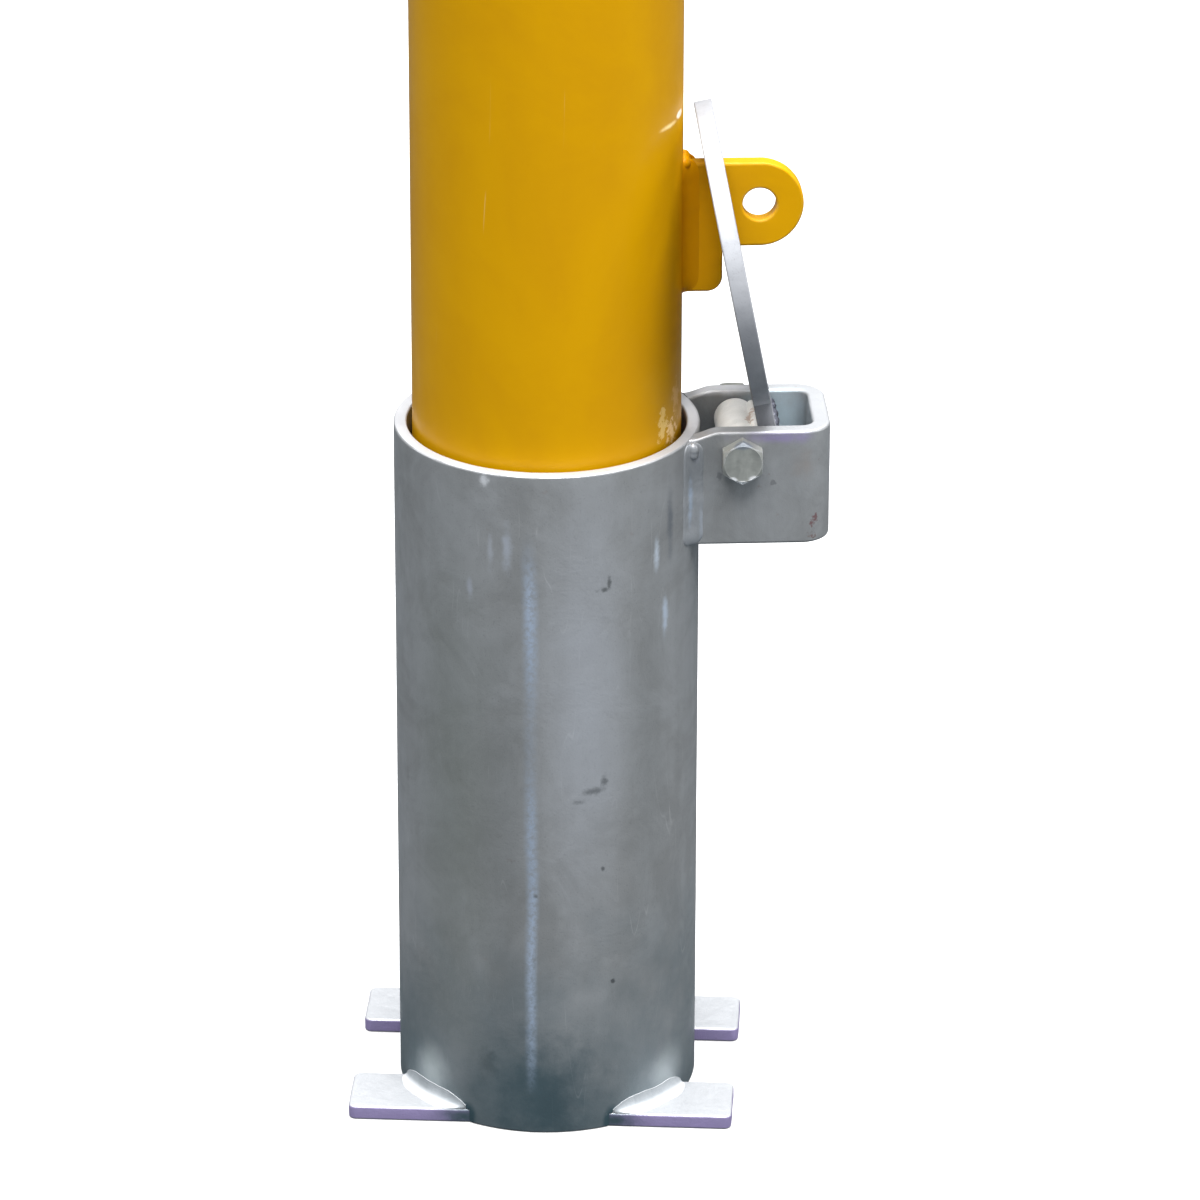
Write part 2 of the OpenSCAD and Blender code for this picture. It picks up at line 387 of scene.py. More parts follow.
@shared
def lathe_tree() -> Tree:
    """Builds the tree that turns a profile, x as radius and z as height, round Z."""
    g, source, sink = Graph.group(
        "turned wall",
        "GeometryNodeTree",
        {
            "Profile": "Geometry", "Segments": 96, "Waviness": 0.0,
            "Wave Scale": 30.0, "Seam Angle": 0.0, "Seam Height": 0.0, "Seam Width": 0.002,
            "Thread Pitch": 0.00125, "Thread Depth": 0.0, "Thread Start": 0.0, "Finish": "Material",
        },
        {"Wall": "Geometry"},
    )
    profile = source["Profile"]
    count = g.add("GeometryNodeAttributeDomainSize", {0: profile}).outputs["Point Count"]
    columns = g.plus(source["Segments"], 1)
    grid = g.add(
        "GeometryNodeMeshGrid",
        {"Size X": 1.0, "Size Y": 1.0, "Vertices X": columns, "Vertices Y": count},
    )
    index = g.add("GeometryNodeInputIndex")
    column = g.math("FLOOR", g.math("DIVIDE", g.plus(index, 0.5), count))
    row = g.math("ROUND", g.minus(index, g.times(column, count)))
    place = g.add(
        "GeometryNodeSampleIndex", {"Geometry": profile, "Index": row}, data_type="FLOAT_VECTOR",
    )
    g.feed(place, "Value", g.add("GeometryNodeInputPosition"))
    radius, _, height = g.add("ShaderNodeSeparateXYZ", {0: place}).outputs
    angle = g.times(g.math("DIVIDE", column, source["Segments"]), TURN)
    cosine, sine = g.math("COSINE", angle), g.math("SINE", angle)
    before = g.combine(g.times(radius, cosine), g.times(radius, sine), height)
    dip = g.times(g.noise(before, source["Wave Scale"], 2.0), source["Waviness"])
    dip = g.times(dip, g.fade(radius, 0.0, 0.003))
    half = g.times(g.minus(angle, source["Seam Angle"]), 0.5)
    arc = g.times(g.math("ABSOLUTE", g.math("SINE", half)), g.times(radius, 2))
    seam = g.times(g.fade(arc, source["Seam Width"], 0.0), source["Seam Height"])
    turns = g.math("DIVIDE", height, source["Thread Pitch"])
    lead = g.minus(turns, g.math("DIVIDE", angle, TURN))
    tooth = g.times(g.math("PINGPONG", lead, 0.5), 2.0)
    begun = g.math("GREATER_THAN", height, source["Thread Start"])
    deep = g.times(source["Thread Depth"], 5.0)
    solid = g.math("GREATER_THAN", radius, deep)
    groove = g.times(g.times(tooth, source["Thread Depth"]), g.times(begun, solid))
    final = g.minus(g.plus(g.minus(radius, dip), seam), groove)
    after = g.combine(g.times(final, cosine), g.times(final, sine), height)
    moved = g.add("GeometryNodeSetPosition", {"Geometry": grid, "Position": after})
    joined = g.add("GeometryNodeMergeByDistance", {"Geometry": moved, "Distance": 1e-6})
    return g.finished(joined, source["Finish"], sink)


@shared
def bead_tree() -> Tree:
    """Builds the tree that lays a weld's overlapping drops along a path."""
    g, source, sink = Graph.group(
        "weld bead",
        "GeometryNodeTree",
        {
            "Path": "Geometry", "Pitch": 0.002, "Radius": 0.002,
            "Irregularity": 0.15, "Seed": 1, "Finish": "Material",
        },
        {"Bead": "Geometry"},
    )
    curve = g.add("GeometryNodeMeshToCurve", {0: source["Path"]})
    points = g.add("GeometryNodeResampleCurve", {"Curve": curve}, mode="LENGTH")
    g.feed(points, "Length", source["Pitch"])
    jitter = g.times(source["Irregularity"], source["Radius"])
    back = g.times(jitter, -1.0)
    shift = g.add("FunctionNodeRandomValue", None, data_type="FLOAT_VECTOR")
    g.feed(shift, 0, g.combine(back, back, back))
    g.feed(shift, 1, g.combine(jitter, jitter, jitter))
    g.feed(shift, "Seed", source["Seed"])
    moved = g.add("GeometryNodeSetPosition", {"Geometry": points, "Offset": shift.outputs[0]})
    grow = g.add("FunctionNodeRandomValue", None, data_type="FLOAT")
    g.feed(grow, 2, g.minus(1.0, source["Irregularity"]))
    g.feed(grow, 3, g.plus(1.0, source["Irregularity"]))
    g.feed(grow, "Seed", g.plus(source["Seed"], 7))
    size = g.times(grow.outputs[1], source["Radius"])
    drop = g.add("GeometryNodeMeshUVSphere", {"Segments": 16, "Rings": 10, "Radius": 1.0})
    turned = g.add(
        "FunctionNodeAlignRotationToVector", {"Vector": g.add("GeometryNodeInputTangent")}
    )
    drops = g.add(
        "GeometryNodeInstanceOnPoints",
        {
            "Points": moved, "Instance": drop, "Rotation": turned,
            "Scale": g.combine(size, size, size),
        },
    )
    return g.finished(drops, source["Finish"], sink)


# ---------------------------------------------------------------- finishes


@dataclass(frozen=True)
class Mark:
    """A local mark on a finish: its centre and half sizes in mm, its colour and its strength."""

    centre: Place
    size: Place
    tint: Tint
    strength: float = 1.0
    ragged: float = 0.5
    fineness: float = 400.0
    soft: float = 0.45


@dataclass(frozen=True)
class Finish:
    """A surface finish. Its material is made once, when a piece first asks for it."""

    name: str
    marks: tuple[Mark, ...] = ()

    def material(self) -> bpy.types.Material:
        """Gives the finish's material."""
        made = bpy.data.materials.get(self.name)
        if made is None:
            made = bpy.data.materials.new(self.name)
            made.use_nodes = True
            graph = Graph(made.node_tree)
            shader = made.node_tree.nodes["Principled BSDF"]
            self.paint(graph, shader, graph.add("ShaderNodeTexCoord").outputs["Object"])
        return made

    def paint(self, g: Graph, shader: Node, spot: Socket) -> None:
        """Fills the material's nodes.

        Args:
            g: The material's graph.
            shader: Its Principled BSDF.
            spot: The surface point in object coordinates.
        """
        raise NotImplementedError

    def marked(self, g: Graph, spot: Socket, colour: Socket) -> Socket:
        """Gives the colour with the finish's marks laid over it."""
        for mark in self.marks:
            mask = g.use(
                patch_group(), Vector=spot, Centre=Vector(mark.centre) * MM,
                Size=Vector(mark.size) * MM, Ragged=mark.ragged, Fineness=mark.fineness,
                Soft=mark.soft,
            )
            colour = g.mix(g.times(mask, mark.strength), colour, srgb(*mark.tint))
        return colour

    @staticmethod
    def relief(g: Graph, shader: Node, height: Any, strength: float, depth: float) -> None:
        """Feeds a height through a Bump node into the shader's normal."""
        bump = g.add("ShaderNodeBump", {"Strength": strength, "Distance": depth, "Height": height})
        g.feed(shader, "Normal", bump)


@dataclass(frozen=True)
class Galvanised(Finish):
    """Hot-dip zinc: cloudy tone, fine grain, bright edges and a few rust specks. Pieces can add
    painted light on faces that point up, a painted reflection on upright faces, and painted shade on
    edges by making the edge colour dark.
    """

    dark: Colour = srgb(140, 142, 143)
    light: Colour = srgb(167, 169, 171)
    # The edge colour is for worn edges; the bars, the bracket and the lid set it dark as painted shade
    # on their rounded edges.
    edge: Colour = srgb(228, 229, 231)
    # The side reflection is a painted reflection on upright faces, mixed in by its share.
    side_reflection: Colour = srgb(150, 150, 152)
    side_reflection_share: float = 0.0
    # The crown colour is painted light on faces that point up, mixed in by its share below.
    crown: Colour = srgb(208, 209, 213)
    painted_top_light: float = 0.0
    metal: float = 0.55
    rough: tuple[float, float] = (0.36, 0.52)
    scale: float = 34.0
    spangle: float = 0.25
    wear: float = 0.5
    rust: float = 0.0
    bump: float = 0.25

    def extra_tones(self, g: Graph, spot: Socket, colour: Socket) -> Socket:
        """Gives the colour with what only some pieces have laid over it."""
        return colour

    def paint(self, g: Graph, shader: Node, spot: Socket) -> None:
        """Fills the material's nodes."""
        patina = g.use(patina_group(), Vector=spot, Scale=self.scale, Spangle=self.spangle)
        tone, grain = patina.outputs
        colour = g.mix(tone, self.dark, self.light)
        speck = g.fade(grain, 0.42, 0.3, 0.0, 0.22)
        colour = g.mix(speck, colour, srgb(92, 92, 94))
        colour = self.extra_tones(g, spot, colour)
        # Worn edges; where the edge colour is dark, painted shade on rounded edges.
        worn = g.use(edge_wear_and_shade_group(), Vector=spot, Radius=0.0012, Amount=self.wear)
        colour = g.mix(worn, colour, self.edge)
        scratched = g.use(scratch_group(), Vector=spot, Scale=110.0, Cover=0.5)
        colour = g.mix(g.times(scratched, 0.16), colour, self.edge)
        normal = g.add("ShaderNodeNewGeometry").outputs["Normal"]
        level = g.add("ShaderNodeSeparateXYZ", {0: normal}).outputs[2]
        # Painted reflection: upright faces are mixed towards the side reflection colour.
        if self.side_reflection_share:
            side = g.fade(g.math("ABSOLUTE", level), 0.75, 0.15, 0.0, self.side_reflection_share)
            colour = g.mix(side, colour, self.side_reflection)
        # Painted light: faces that point up are mixed towards the crown colour.
        if self.painted_top_light:
            colour = g.mix(g.fade(level, 0.5, 0.9, 0.0, self.painted_top_light), colour, self.crown)
        if self.rust:
            spots = g.fade(g.noise(spot, 210.0, 3.0, 0.7), 0.69, 0.75, 0.0, self.rust)
            colour = g.mix(spots, colour, srgb(122, 84, 62))
        colour = self.marked(g, spot, colour)
        g.feed(shader, "Base Color", colour)
        shine = g.fade(tone, 0.0, 1.0, self.rough[1], self.rough[0])
        g.feed(shader, "Roughness", g.plus(shine, g.times(grain, 0.08)))
        shader.inputs["Metallic"].default_value = self.metal
        height = g.plus(g.times(tone, 0.8), g.times(grain, 0.35))
        self.relief(g, shader, height, self.bump, 0.4 * MM)


@dataclass(frozen=True)
class SocketZinc(Galvanised):
    """The socket tube's zinc, with a drawn seam streak, a zinc run painted with its highlight, and a
    darker, bluish foot of painted shade.
    """

    # The foot colour is painted shade, darkest at the floor and gone at the height below.
    foot: Colour = srgb(96, 110, 116)
    shade_height: float = 0.09
    # The streak is a zinc run along the seam, painted pale blue with its highlight.
    streak: Colour = srgb(176, 192, 214)
    streak_width: float = 3.0 * MM
    streak_wander: float = 4 * MM
    streak_foot: float = 0.014
    streak_top: float = 0.222
    streak_gap: float = 0.146

    def extra_tones(self, g: Graph, spot: Socket, colour: Socket) -> Socket:
        """Gives the colour with the foot's painted shade and the streak's painted highlight."""
        height = g.add("ShaderNodeSeparateXYZ", {0: spot}).outputs[2]
        ragged = g.times(g.minus(g.noise(spot, 22.0, 4.0, 0.6), 0.5), 0.12)
        lifted = g.plus(height, ragged)
        # Painted shade, darker towards the floor.
        shade = g.fade(lifted, self.shade_height, 0.0, 0.0, 0.85)
        colour = g.mix(shade, colour, self.foot)
        line = g.use(
            streak_group(), Vector=spot, Angle=SEAM_ANGLE, Width=self.streak_width,
            Wander=self.streak_wander, Foot=self.streak_foot, Top=self.streak_top,
            Gap=self.streak_gap,
        )
        # Painted highlight along the seam's zinc run.
        return g.mix(g.times(line, 0.9), colour, self.streak)


@dataclass(frozen=True)
class YellowCoat(Finish):
    """Traffic-yellow paint with orange peel, faint mottle, worn edges and scratches."""

    deep: Colour = srgb(186, 134, 0)
    bright: Colour = srgb(194, 143, 0)
    worn: Colour = srgb(250, 232, 178)
    wear: float = 0.35
    rough: tuple[float, float] = (0.3, 0.42)
    peel: float = 0.1

    def paint(self, g: Graph, shader: Node, spot: Socket) -> None:
        """Fills the material's nodes."""
        tone, grain = g.use(patina_group(), Vector=spot, Scale=16.0, Spangle=0.0).outputs
        colour = g.mix(tone, self.deep, self.bright)
        worn = g.use(edge_wear_and_shade_group(), Vector=spot, Radius=0.001, Amount=self.wear, Breakup=190.0)
        colour = g.mix(worn, colour, self.worn)
        scratched = g.use(scratch_group(), Vector=spot, Scale=48.0, Cover=0.42)
        colour = g.mix(g.times(scratched, 0.14), colour, self.worn)
        colour = self.marked(g, spot, colour)
        g.feed(shader, "Base Color", colour)
        shine = g.fade(tone, 0.0, 1.0, self.rough[1], self.rough[0])
        g.feed(shader, "Roughness", g.plus(shine, g.times(scratched, 0.2)))
        shader.inputs["Specular IOR Level"].default_value = 0.14
        ripple = g.noise(spot, 420.0, 2.0, 0.5)
        height = g.plus(g.times(ripple, 0.8), g.times(grain, 0.2))
        self.relief(g, shader, g.minus(height, scratched), self.peel, 0.3 * MM)


@dataclass(frozen=True)
class Plated(Finish):
    """Zinc-plated fastener steel: fine machining grain, a cloudy tone and bright edges."""

    dark: Colour = srgb(146, 147, 140)
    light: Colour = srgb(192, 192, 184)
    metal: float = 0.75

    def paint(self, g: Graph, shader: Node, spot: Socket) -> None:
        """Fills the material's nodes."""
        tone, grain = g.use(patina_group(), Vector=spot, Scale=120.0, Spangle=0.1).outputs
        colour = g.mix(tone, self.dark, self.light)
        worn = g.use(edge_wear_and_shade_group(), Vector=spot, Radius=0.0006, Amount=0.9, Breakup=300.0)
        colour = self.marked(g, spot, g.mix(worn, colour, srgb(236, 238, 242)))
        g.feed(shader, "Base Color", colour)
        g.feed(shader, "Roughness", g.fade(grain, 0.3, 0.7, 0.3, 0.46))
        shader.inputs["Metallic"].default_value = self.metal
        self.relief(g, shader, grain, 0.2, 0.1 * MM)


@dataclass(frozen=True)
class Nylon(Finish):
    """The lock nut's plastic ring: even colour, a faint mottle and a faint grain."""

    colour: Colour = srgb(66, 98, 158)

    def paint(self, g: Graph, shader: Node, spot: Socket) -> None:
        """Fills the material's nodes."""
        tone, grain = g.use(patina_group(), Vector=spot, Scale=200.0, Spangle=0.0).outputs
        g.feed(shader, "Base Color", g.mix(tone, self.colour, srgb(88, 120, 178)))
        g.feed(shader, "Roughness", g.fade(grain, 0.3, 0.7, 0.4, 0.6))
        self.relief(g, shader, grain, 0.15, 0.1 * MM)


# ---------------------------------------------------------------- meshes


def rounded(corners: Sequence[Place], steps: int = 6) -> list[Point]:
    """Rounds the corners of a closed outline.

    Args:
        corners: Each corner's x, y and radius.
        steps: How many edges a rounded corner has.

    Returns:
        The outline's points, in the corners' order.
    """
    points: list[Point] = []
    for i, (x, y, radius) in enumerate(corners):
        here = Vector((x, y))
        back = (Vector(corners[i - 1][:2]) - here).normalized()
        ahead = (Vector(corners[(i + 1) % len(corners)][:2]) - here).normalized()
        if radius <= 0:
            points.append((x, y))
            continue
        half = back.angle(ahead) / 2
        centre = here + (back + ahead).normalized() * (radius / math.sin(half))
        first = here + back * (radius / math.tan(half)) - centre
        last = here + ahead * (radius / math.tan(half)) - centre
        sweep = math.atan2(first.x * last.y - first.y * last.x, first.dot(last))
        for k in range(steps + 1):
            turn = sweep * k / steps
            c, s = math.cos(turn), math.sin(turn)
            points.append(
                (centre.x + first.x * c - first.y * s, centre.y + first.x * s + first.y * c)
            )
    return points


def spaced(loop: Sequence[Point], step: float) -> list[Point]:
    """Adds points to a closed outline until no edge is longer than step."""
    points: list[Point] = []
    for (x0, y0), (x1, y1) in zip(loop, [*loop[1:], loop[0]]):
        parts = max(1, math.ceil(math.hypot(x1 - x0, y1 - y0) / step))
        points += [(x0 + (x1 - x0) * k / parts, y0 + (y1 - y0) * k / parts) for k in range(parts)]
    return points


def hand_cut(loop: Sequence[Point], depth: float, fineness: float, seed: float) -> list[Point]:
    """Moves an outline's points inwards by a smooth noise, as a hand-held cutter leaves it."""
    points: list[Point] = []
    total = len(loop)
    centre = Vector((sum(p[0] for p in loop) / total, sum(p[1] for p in loop) / total))
    for x, y in loop:
        here = Vector((x, y))
        amount = depth * (0.5 + 0.5 * noise.noise(Vector((x * fineness, y * fineness, seed))))
        moved = here + (centre - here).normalized() * amount
        points.append((moved.x, moved.y))
    return points


def link(name: str, mesh: Mesh) -> Piece:
    """Puts a mesh in the scene as an object at the origin."""
    piece = bpy.data.objects.new(name, mesh)
    bpy.context.scene.collection.objects.link(piece)
    return piece


def raw(
    name: str,
    points: Sequence[Sequence[float]],
    faces: Sequence[Sequence[int]] = (),
    edges: Sequence[Sequence[int]] = (),
) -> Piece:
    """Makes an object from points, faces and edges."""
    mesh = bpy.data.meshes.new(name)
    mesh.from_pydata([tuple(p) for p in points], list(edges), list(faces))
    return link(name, mesh)


def tidy(mesh: Mesh) -> None:
    """Joins a closed mesh's doubled points and turns its faces outwards."""
    shape = bmesh.new()
    shape.from_mesh(mesh)
    bmesh.ops.remove_doubles(shape, verts=shape.verts, dist=2e-6)
    bmesh.ops.delete(shape, geom=[e for e in shape.edges if e.is_wire], context="EDGES")
    bmesh.ops.recalc_face_normals(shape, faces=shape.faces)
    shape.to_mesh(mesh)
    shape.free()


def bake(piece: Piece) -> Piece:
    """Turns an object with modifiers into a plain mesh."""
    graph = bpy.context.evaluated_depsgraph_get()
    mesh = bpy.data.meshes.new_from_object(piece.evaluated_get(graph))
    old = piece.data
    piece.modifiers.clear()
    piece.data = mesh
    bpy.data.meshes.remove(old)
    mesh.name = piece.name
    return piece


def grow(piece: Piece, tree: Tree, values: dict[str, Any]) -> Piece:
    """Adds a geometry tree to an object and sets its inputs by their identifiers."""
    modifier = piece.modifiers.new(tree.name, "NODES")
    modifier.node_group = tree
    keys = {
        item.name: item.identifier
        for item in tree.interface.items_tree
        if item.item_type == "SOCKET" and item.in_out == "INPUT"
    }
    for name, value in values.items():
        modifier[keys[name]] = value
    return piece


def loft(name: str, sections: Sequence[Sequence[Sequence[float]]]) -> Piece:
    """Joins closed sections of equal length one after another and closes both ends."""
    count = len(sections[0])
    points = [p for section in sections for p in section]
    faces = [
        (i * count + j, i * count + (j + 1) % count,
         (i + 1) * count + (j + 1) % count, (i + 1) * count + j)
        for i in range(len(sections) - 1)
        for j in range(count)
    ]
    faces.append(tuple(range(count)))
    faces.append(tuple(range(len(points) - 1, len(points) - count - 1, -1)))
    piece = raw(name, points, faces)
    tidy(piece.data)
    return piece


def fillet(
    name: str,
    stations: Sequence[tuple[Vector, Vector, Vector, float]],
    hollow: float = 0.12,
) -> Piece:
    """Lays a smooth hollow weld along the corner between two faces.

    Args:
        name: The piece's name.
        stations: Points of the corner, each with the directions that its two faces take away
            from it and the weld's leg there.
        hollow: How full the weld is, from 0 for deeply hollow to 0.5 for flat.

    Returns:
        The weld, sunk a little into both faces.
    """
    sunk = 0.6 * MM
    sections = []
    for corner, first, second, leg in stations:
        start, end = corner + first * leg, corner + second * leg
        knee = corner + (first + second) * (leg * hollow)
        arc = [
            start * (1 - t) ** 2 + knee * (2 * t * (1 - t)) + end * t**2
            for t in (k / 9 for k in range(10))
        ]
        back = [end - first * sunk, corner - (first + second) * sunk, start - second * sunk]
        sections.append([*arc, *back])
    return loft(name, sections)


def corner_stations(
    radius: float, offset: float, low: float, high: float, leg: float, ripple: float, seed: float
) -> list[tuple[Vector, Vector, Vector, float]]:
    """Stations up the corner between a round tube about Z and the side of an upright plate.

    Args:
        radius: The tube's radius.
        offset: The plate side's y.
        low: Where the corner starts.
        high: Where it ends.
        leg: The weld's leg.
        ripple: How uneven the leg is, as a share of it.
        seed: The place in the noise that makes it uneven.

    Returns:
        The stations.
    """
    angle = math.asin(offset / radius)
    count = max(8, round((high - low) / (0.5 * MM)))
    stations = []
    for k in range(count + 1):
        share = k / count
        z = low + (high - low) * share
        uneven = noise.noise(Vector((z * 240, seed, 0)))
        size = leg * (1 + ripple * uneven) * (1 - abs(2 * share - 1) ** 14 * 0.6)
        corner = Vector((radius * math.cos(angle), offset, z))
        ahead = angle + math.copysign(size / radius, offset)
        foot = Vector((radius * math.cos(ahead), radius * math.sin(ahead), z))
        stations.append((corner, Vector((1, 0, 0)), (foot - corner) / size, size))
    return stations


def plate(
    name: str,
    outline: Sequence[Point],
    holes: Sequence[Sequence[Point]],
    thickness: float,
    edge: float,
    place: Matrix,
) -> Piece:
    """Makes a flat plate with rounded edges.

    Args:
        name: The piece's name.
        outline: The plate's outline in its own XY plane.
        holes: The outlines of its holes.
        thickness: Its thickness, half on each side of the plane.
        edge: The radius of its edges, or 0 for sharp ones.
        place: Where it goes.

    Returns:
        The plate.
    """
    curve = bpy.data.curves.new(name, "CURVE")
    curve.dimensions = "2D"
    curve.fill_mode = "BOTH"
    curve.extrude = thickness / 2 - edge
    curve.bevel_depth = edge
    curve.bevel_resolution = 2
    curve.offset = -edge
    for loop in (outline, *holes):
        spline = curve.splines.new("POLY")
        spline.points.add(len(loop) - 1)
        for point, (x, y) in zip(spline.points, loop):
            point.co = (x, y, 0.0, 1.0)
        spline.use_cyclic_u = True
    drawn = bpy.data.objects.new(name, curve)
    bpy.context.scene.collection.objects.link(drawn)
    graph = bpy.context.evaluated_depsgraph_get()
    mesh = bpy.data.meshes.new_from_object(drawn.evaluated_get(graph))
    bpy.data.objects.remove(drawn)
    bpy.data.curves.remove(curve)
    mesh.transform(place)
    tidy(mesh)
    return link(name, mesh)


def cut(piece: Piece, cutters: Sequence[Piece]) -> Piece:
    """Takes the cutters out of a piece."""
    for cutter in cutters:
        modifier = piece.modifiers.new("cut", "BOOLEAN")
        modifier.operation = "DIFFERENCE"
        modifier.solver = "EXACT"
        modifier.object = cutter
    bake(piece)
    for cutter in cutters:
        mesh = cutter.data
        bpy.data.objects.remove(cutter)
        bpy.data.meshes.remove(mesh)
    return piece


def turned(
    name: str,
    profile: Sequence[Point],
    segments: int,
    values: dict[str, Any] | None = None,
    place: Matrix | None = None,
) -> Piece:
    """Turns a closed profile of radius and height round Z, then puts it in its place."""
    points = [(r, 0.0, z) for r, z in (*profile, profile[0])]
    piece = raw(name, points)
    piece = bake(grow(piece, lathe_tree(), {"Segments": segments, **(values or {})}))
    if place is not None:
        piece.data.transform(place)
    tidy(piece.data)
    return piece


def weld(
    name: str,
    path: Sequence[Sequence[float]],
    radius: float,
    *,
    pitch: float = 0.8,
    rough: float = 0.14,
    seed: int = 1,
    closed: bool = False,
    voxel: float = 0.35 * MM,
    smooth: int = 4,
) -> Piece:
    """Lays a weld bead along a path.

    Args:
        name: The piece's name.
        path: The points that it follows.
        radius: The bead's radius.
        pitch: The distance between its drops, in radii.
        rough: How uneven its drops are.
        seed: The seed of that unevenness.
        closed: Whether the path ends where it starts.
        voxel: The grain of the mesh that joins the drops.
        smooth: How often that mesh is smoothed.

    Returns:
        The bead as one closed mesh.
    """
    count = len(path)
    edges = [(i, (i + 1) % count) for i in range(count if closed else count - 1)]
    piece = grow(
        raw(name, path, edges=edges), bead_tree(),
        {"Pitch": pitch * radius, "Radius": radius, "Irregularity": rough, "Seed": seed},
    )
    skin = piece.modifiers.new("skin", "REMESH")
    skin.mode = "VOXEL"
    skin.voxel_size = voxel
    ease = piece.modifiers.new("ease", "SMOOTH")
    ease.factor = 0.5
    ease.iterations = smooth
    bake(piece)
    tidy(piece.data)
    return piece


def dress(
    piece: Piece,
    body: Body,
    slot: Slot,
    finish: Finish,
    *nodes: str,
    smooth: float = 38.0,
) -> Piece:
    """Gives a piece its finish and its body, and hides the CAD nodes that it stands for.

    Args:
        piece: The finished piece.
        body: The body that it moves with.
        slot: The record's slot for its finish; not used.
        finish: The finish.
        *nodes: The CAD nodes that it replaces.
        smooth: Edges turned by more degrees than this stay sharp.

    Returns:
        The piece.
    """
    mesh = piece.data
    mesh.materials.clear()
    mesh.materials.append(finish.material())
    mesh.polygons.foreach_set("material_index", [0] * len(mesh.polygons))
    mesh.polygons.foreach_set("use_smooth", [True] * len(mesh.polygons))
    mesh.set_sharp_from_angle(angle=math.radians(smooth))
    even = piece.modifiers.new("even", "WEIGHTED_NORMAL")
    even.weight = 100
    even.keep_sharp = True
    bake(piece)
    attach(piece, body.value)
    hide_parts(*nodes)
    return piece


def ring_wall(
    outer: float, inner: float, low: float, high: float, edge: float, step: float
) -> list[Point]:
    """Profile of a tube wall with rounded ends, up its outside and down its inside."""
    corners = [(outer, low, edge), (outer, high, edge), (inner, high, edge), (inner, low, edge)]
    return spaced(rounded(corners, 3), step)


def along_y(x: float, y: float, z: float, flip: bool = False) -> Matrix:
    """Turns +Z to +Y, or to -Y, and moves to a point."""
    return Matrix.Translation((x, y, z)) @ Matrix.Rotation(math.radians(90 if flip else -90), 4, "X")


def circle(x: float, y: float, radius: float, count: int) -> list[Point]:
    """Points of a circle."""
    return [
        (x + radius * math.cos(TURN * k / count), y + radius * math.sin(TURN * k / count))
        for k in range(count)
    ]


# ---------------------------------------------------------------- the bollard

TUBE_MARKS = (
    Mark((-33, -38.6, 120), (27, 27, 135), (122, 128, 122), 0.5, 0.1, 60, 1),
    Mark((-15, -48.5, 110), (15, 15, 125), (104, 108, 108), 0.3, 0.1, 60, 1),
    Mark((31.5, -39.8, 130), (14, 14, 120), (110, 114, 114), 0.3, 0.1, 60, 1),
    Mark((10.5, -49.7, 160), (21, 21, 110), (212, 218, 230), 0.28, 0.1, 60, 1),
    # Painted shade at the front of the foot.
    Mark((-4, -50, 10), (30, 20, 34), (62, 84, 92), 0.8, 0.25, 110, 1),
    Mark((16.9, -47.9, 198.7), (3, 5, 1.2), (76, 80, 80), 0.7, 0.45, 400, 0.9),
    Mark((18.4, -47.3, 201), (1, 5, 3.4), (76, 80, 80), 0.7, 0.45, 400, 0.9),
    Mark((17.1, -47.8, 130), (2, 5, 3), (76, 80, 82), 0.6, 0.45, 400, 0.9),
    Mark((13.5, -49, 126.6), (6, 5, 1.8), (76, 80, 82), 0.6, 0.35, 400, 1),
    Mark((8.5, -50.1, 123.2), (3.4, 5, 1.6), (80, 84, 86), 0.5, 0.35, 400, 1),
    # Painted highlights on two zinc drips.
    Mark((34.5, -37.3, 206), (1.8, 3, 8.5), (214, 226, 240), 0.7, 0.3, 200, 1),
    Mark((37.5, -34.2, 183), (1.6, 3, 10), (208, 222, 240), 0.7, 0.3, 200, 1),
    Mark((39.2, -32.3, 215), (2, 3, 20), (92, 100, 110), 0.6, 0.2, 200, 1),
    # A zinc drip at the rim, painted with its highlight.
    Mark((-22.2, -45.7, 237.2), (2, 4, 3.2), (236, 238, 242), 0.8, 0.3, 400, 0.9),
    Mark((-20.4, -46.3, 213), (1.4, 4, 8.5), (190, 196, 206), 0.5, 0.3, 300, 1),
    Mark((-15, -48.6, 214), (2.4, 4, 11), (192, 200, 214), 0.5, 0.3, 300, 1),
    Mark((-27, -43, 198), (1.6, 4, 5), (190, 196, 210), 0.5, 0.3, 300, 1),
    Mark((20, -46.7, 55), (1, 3, 1.2), (64, 68, 70), 0.8, 0.4, 500),
    Mark((-22.5, -45.5, 24), (5, 6, 9), (76, 86, 88), 0.4, 0.3, 220, 1),
    # Painted reflections of the bars on the tube's foot.
    Mark((-41, -30, 15), (12, 12, 13), (214, 222, 222), 0.42, 0.1, 100, 1),
    Mark((39.8, -31.5, 14), (12, 12, 13), (208, 216, 218), 0.42, 0.1, 100, 1),
    Mark((16.5, -48, 97.5), (1, 3, 1.3), (76, 80, 82), 0.7, 0.3, 400, 0.8),
    Mark((-6, -50.4, 89), (1.2, 3, 1), (84, 88, 90), 0.5, 0.3, 400, 0.8),
    # Painted shade at the foot, over the notch edges.
    Mark((19.7, -46.8, 2), (4, 4, 7), (62, 84, 92), 1, 0.1, 100, 0.5),
    Mark((-29, -41.7, 2), (4, 4, 7), (62, 84, 92), 1, 0.1, 100, 0.5),
    # Painted light on the rim's top beside the post, where the post and the lid shade it.
    Mark((48, 2, 239.5), (5, 20, 3), (248, 248, 250), 0.95, 0.1, 100, 0.8),
)

BAR_MARKS = (
    # Painted shade where the bars' front faces meet the tube.
    Mark((20, -46.7, 2.2), (15, 6, 6.5), (72, 90, 98), 1, 0.1, 300, 1),
    Mark((-30, -41.4, 2.2), (15, 6, 6.5), (72, 90, 98), 1, 0.1, 300, 1),
)

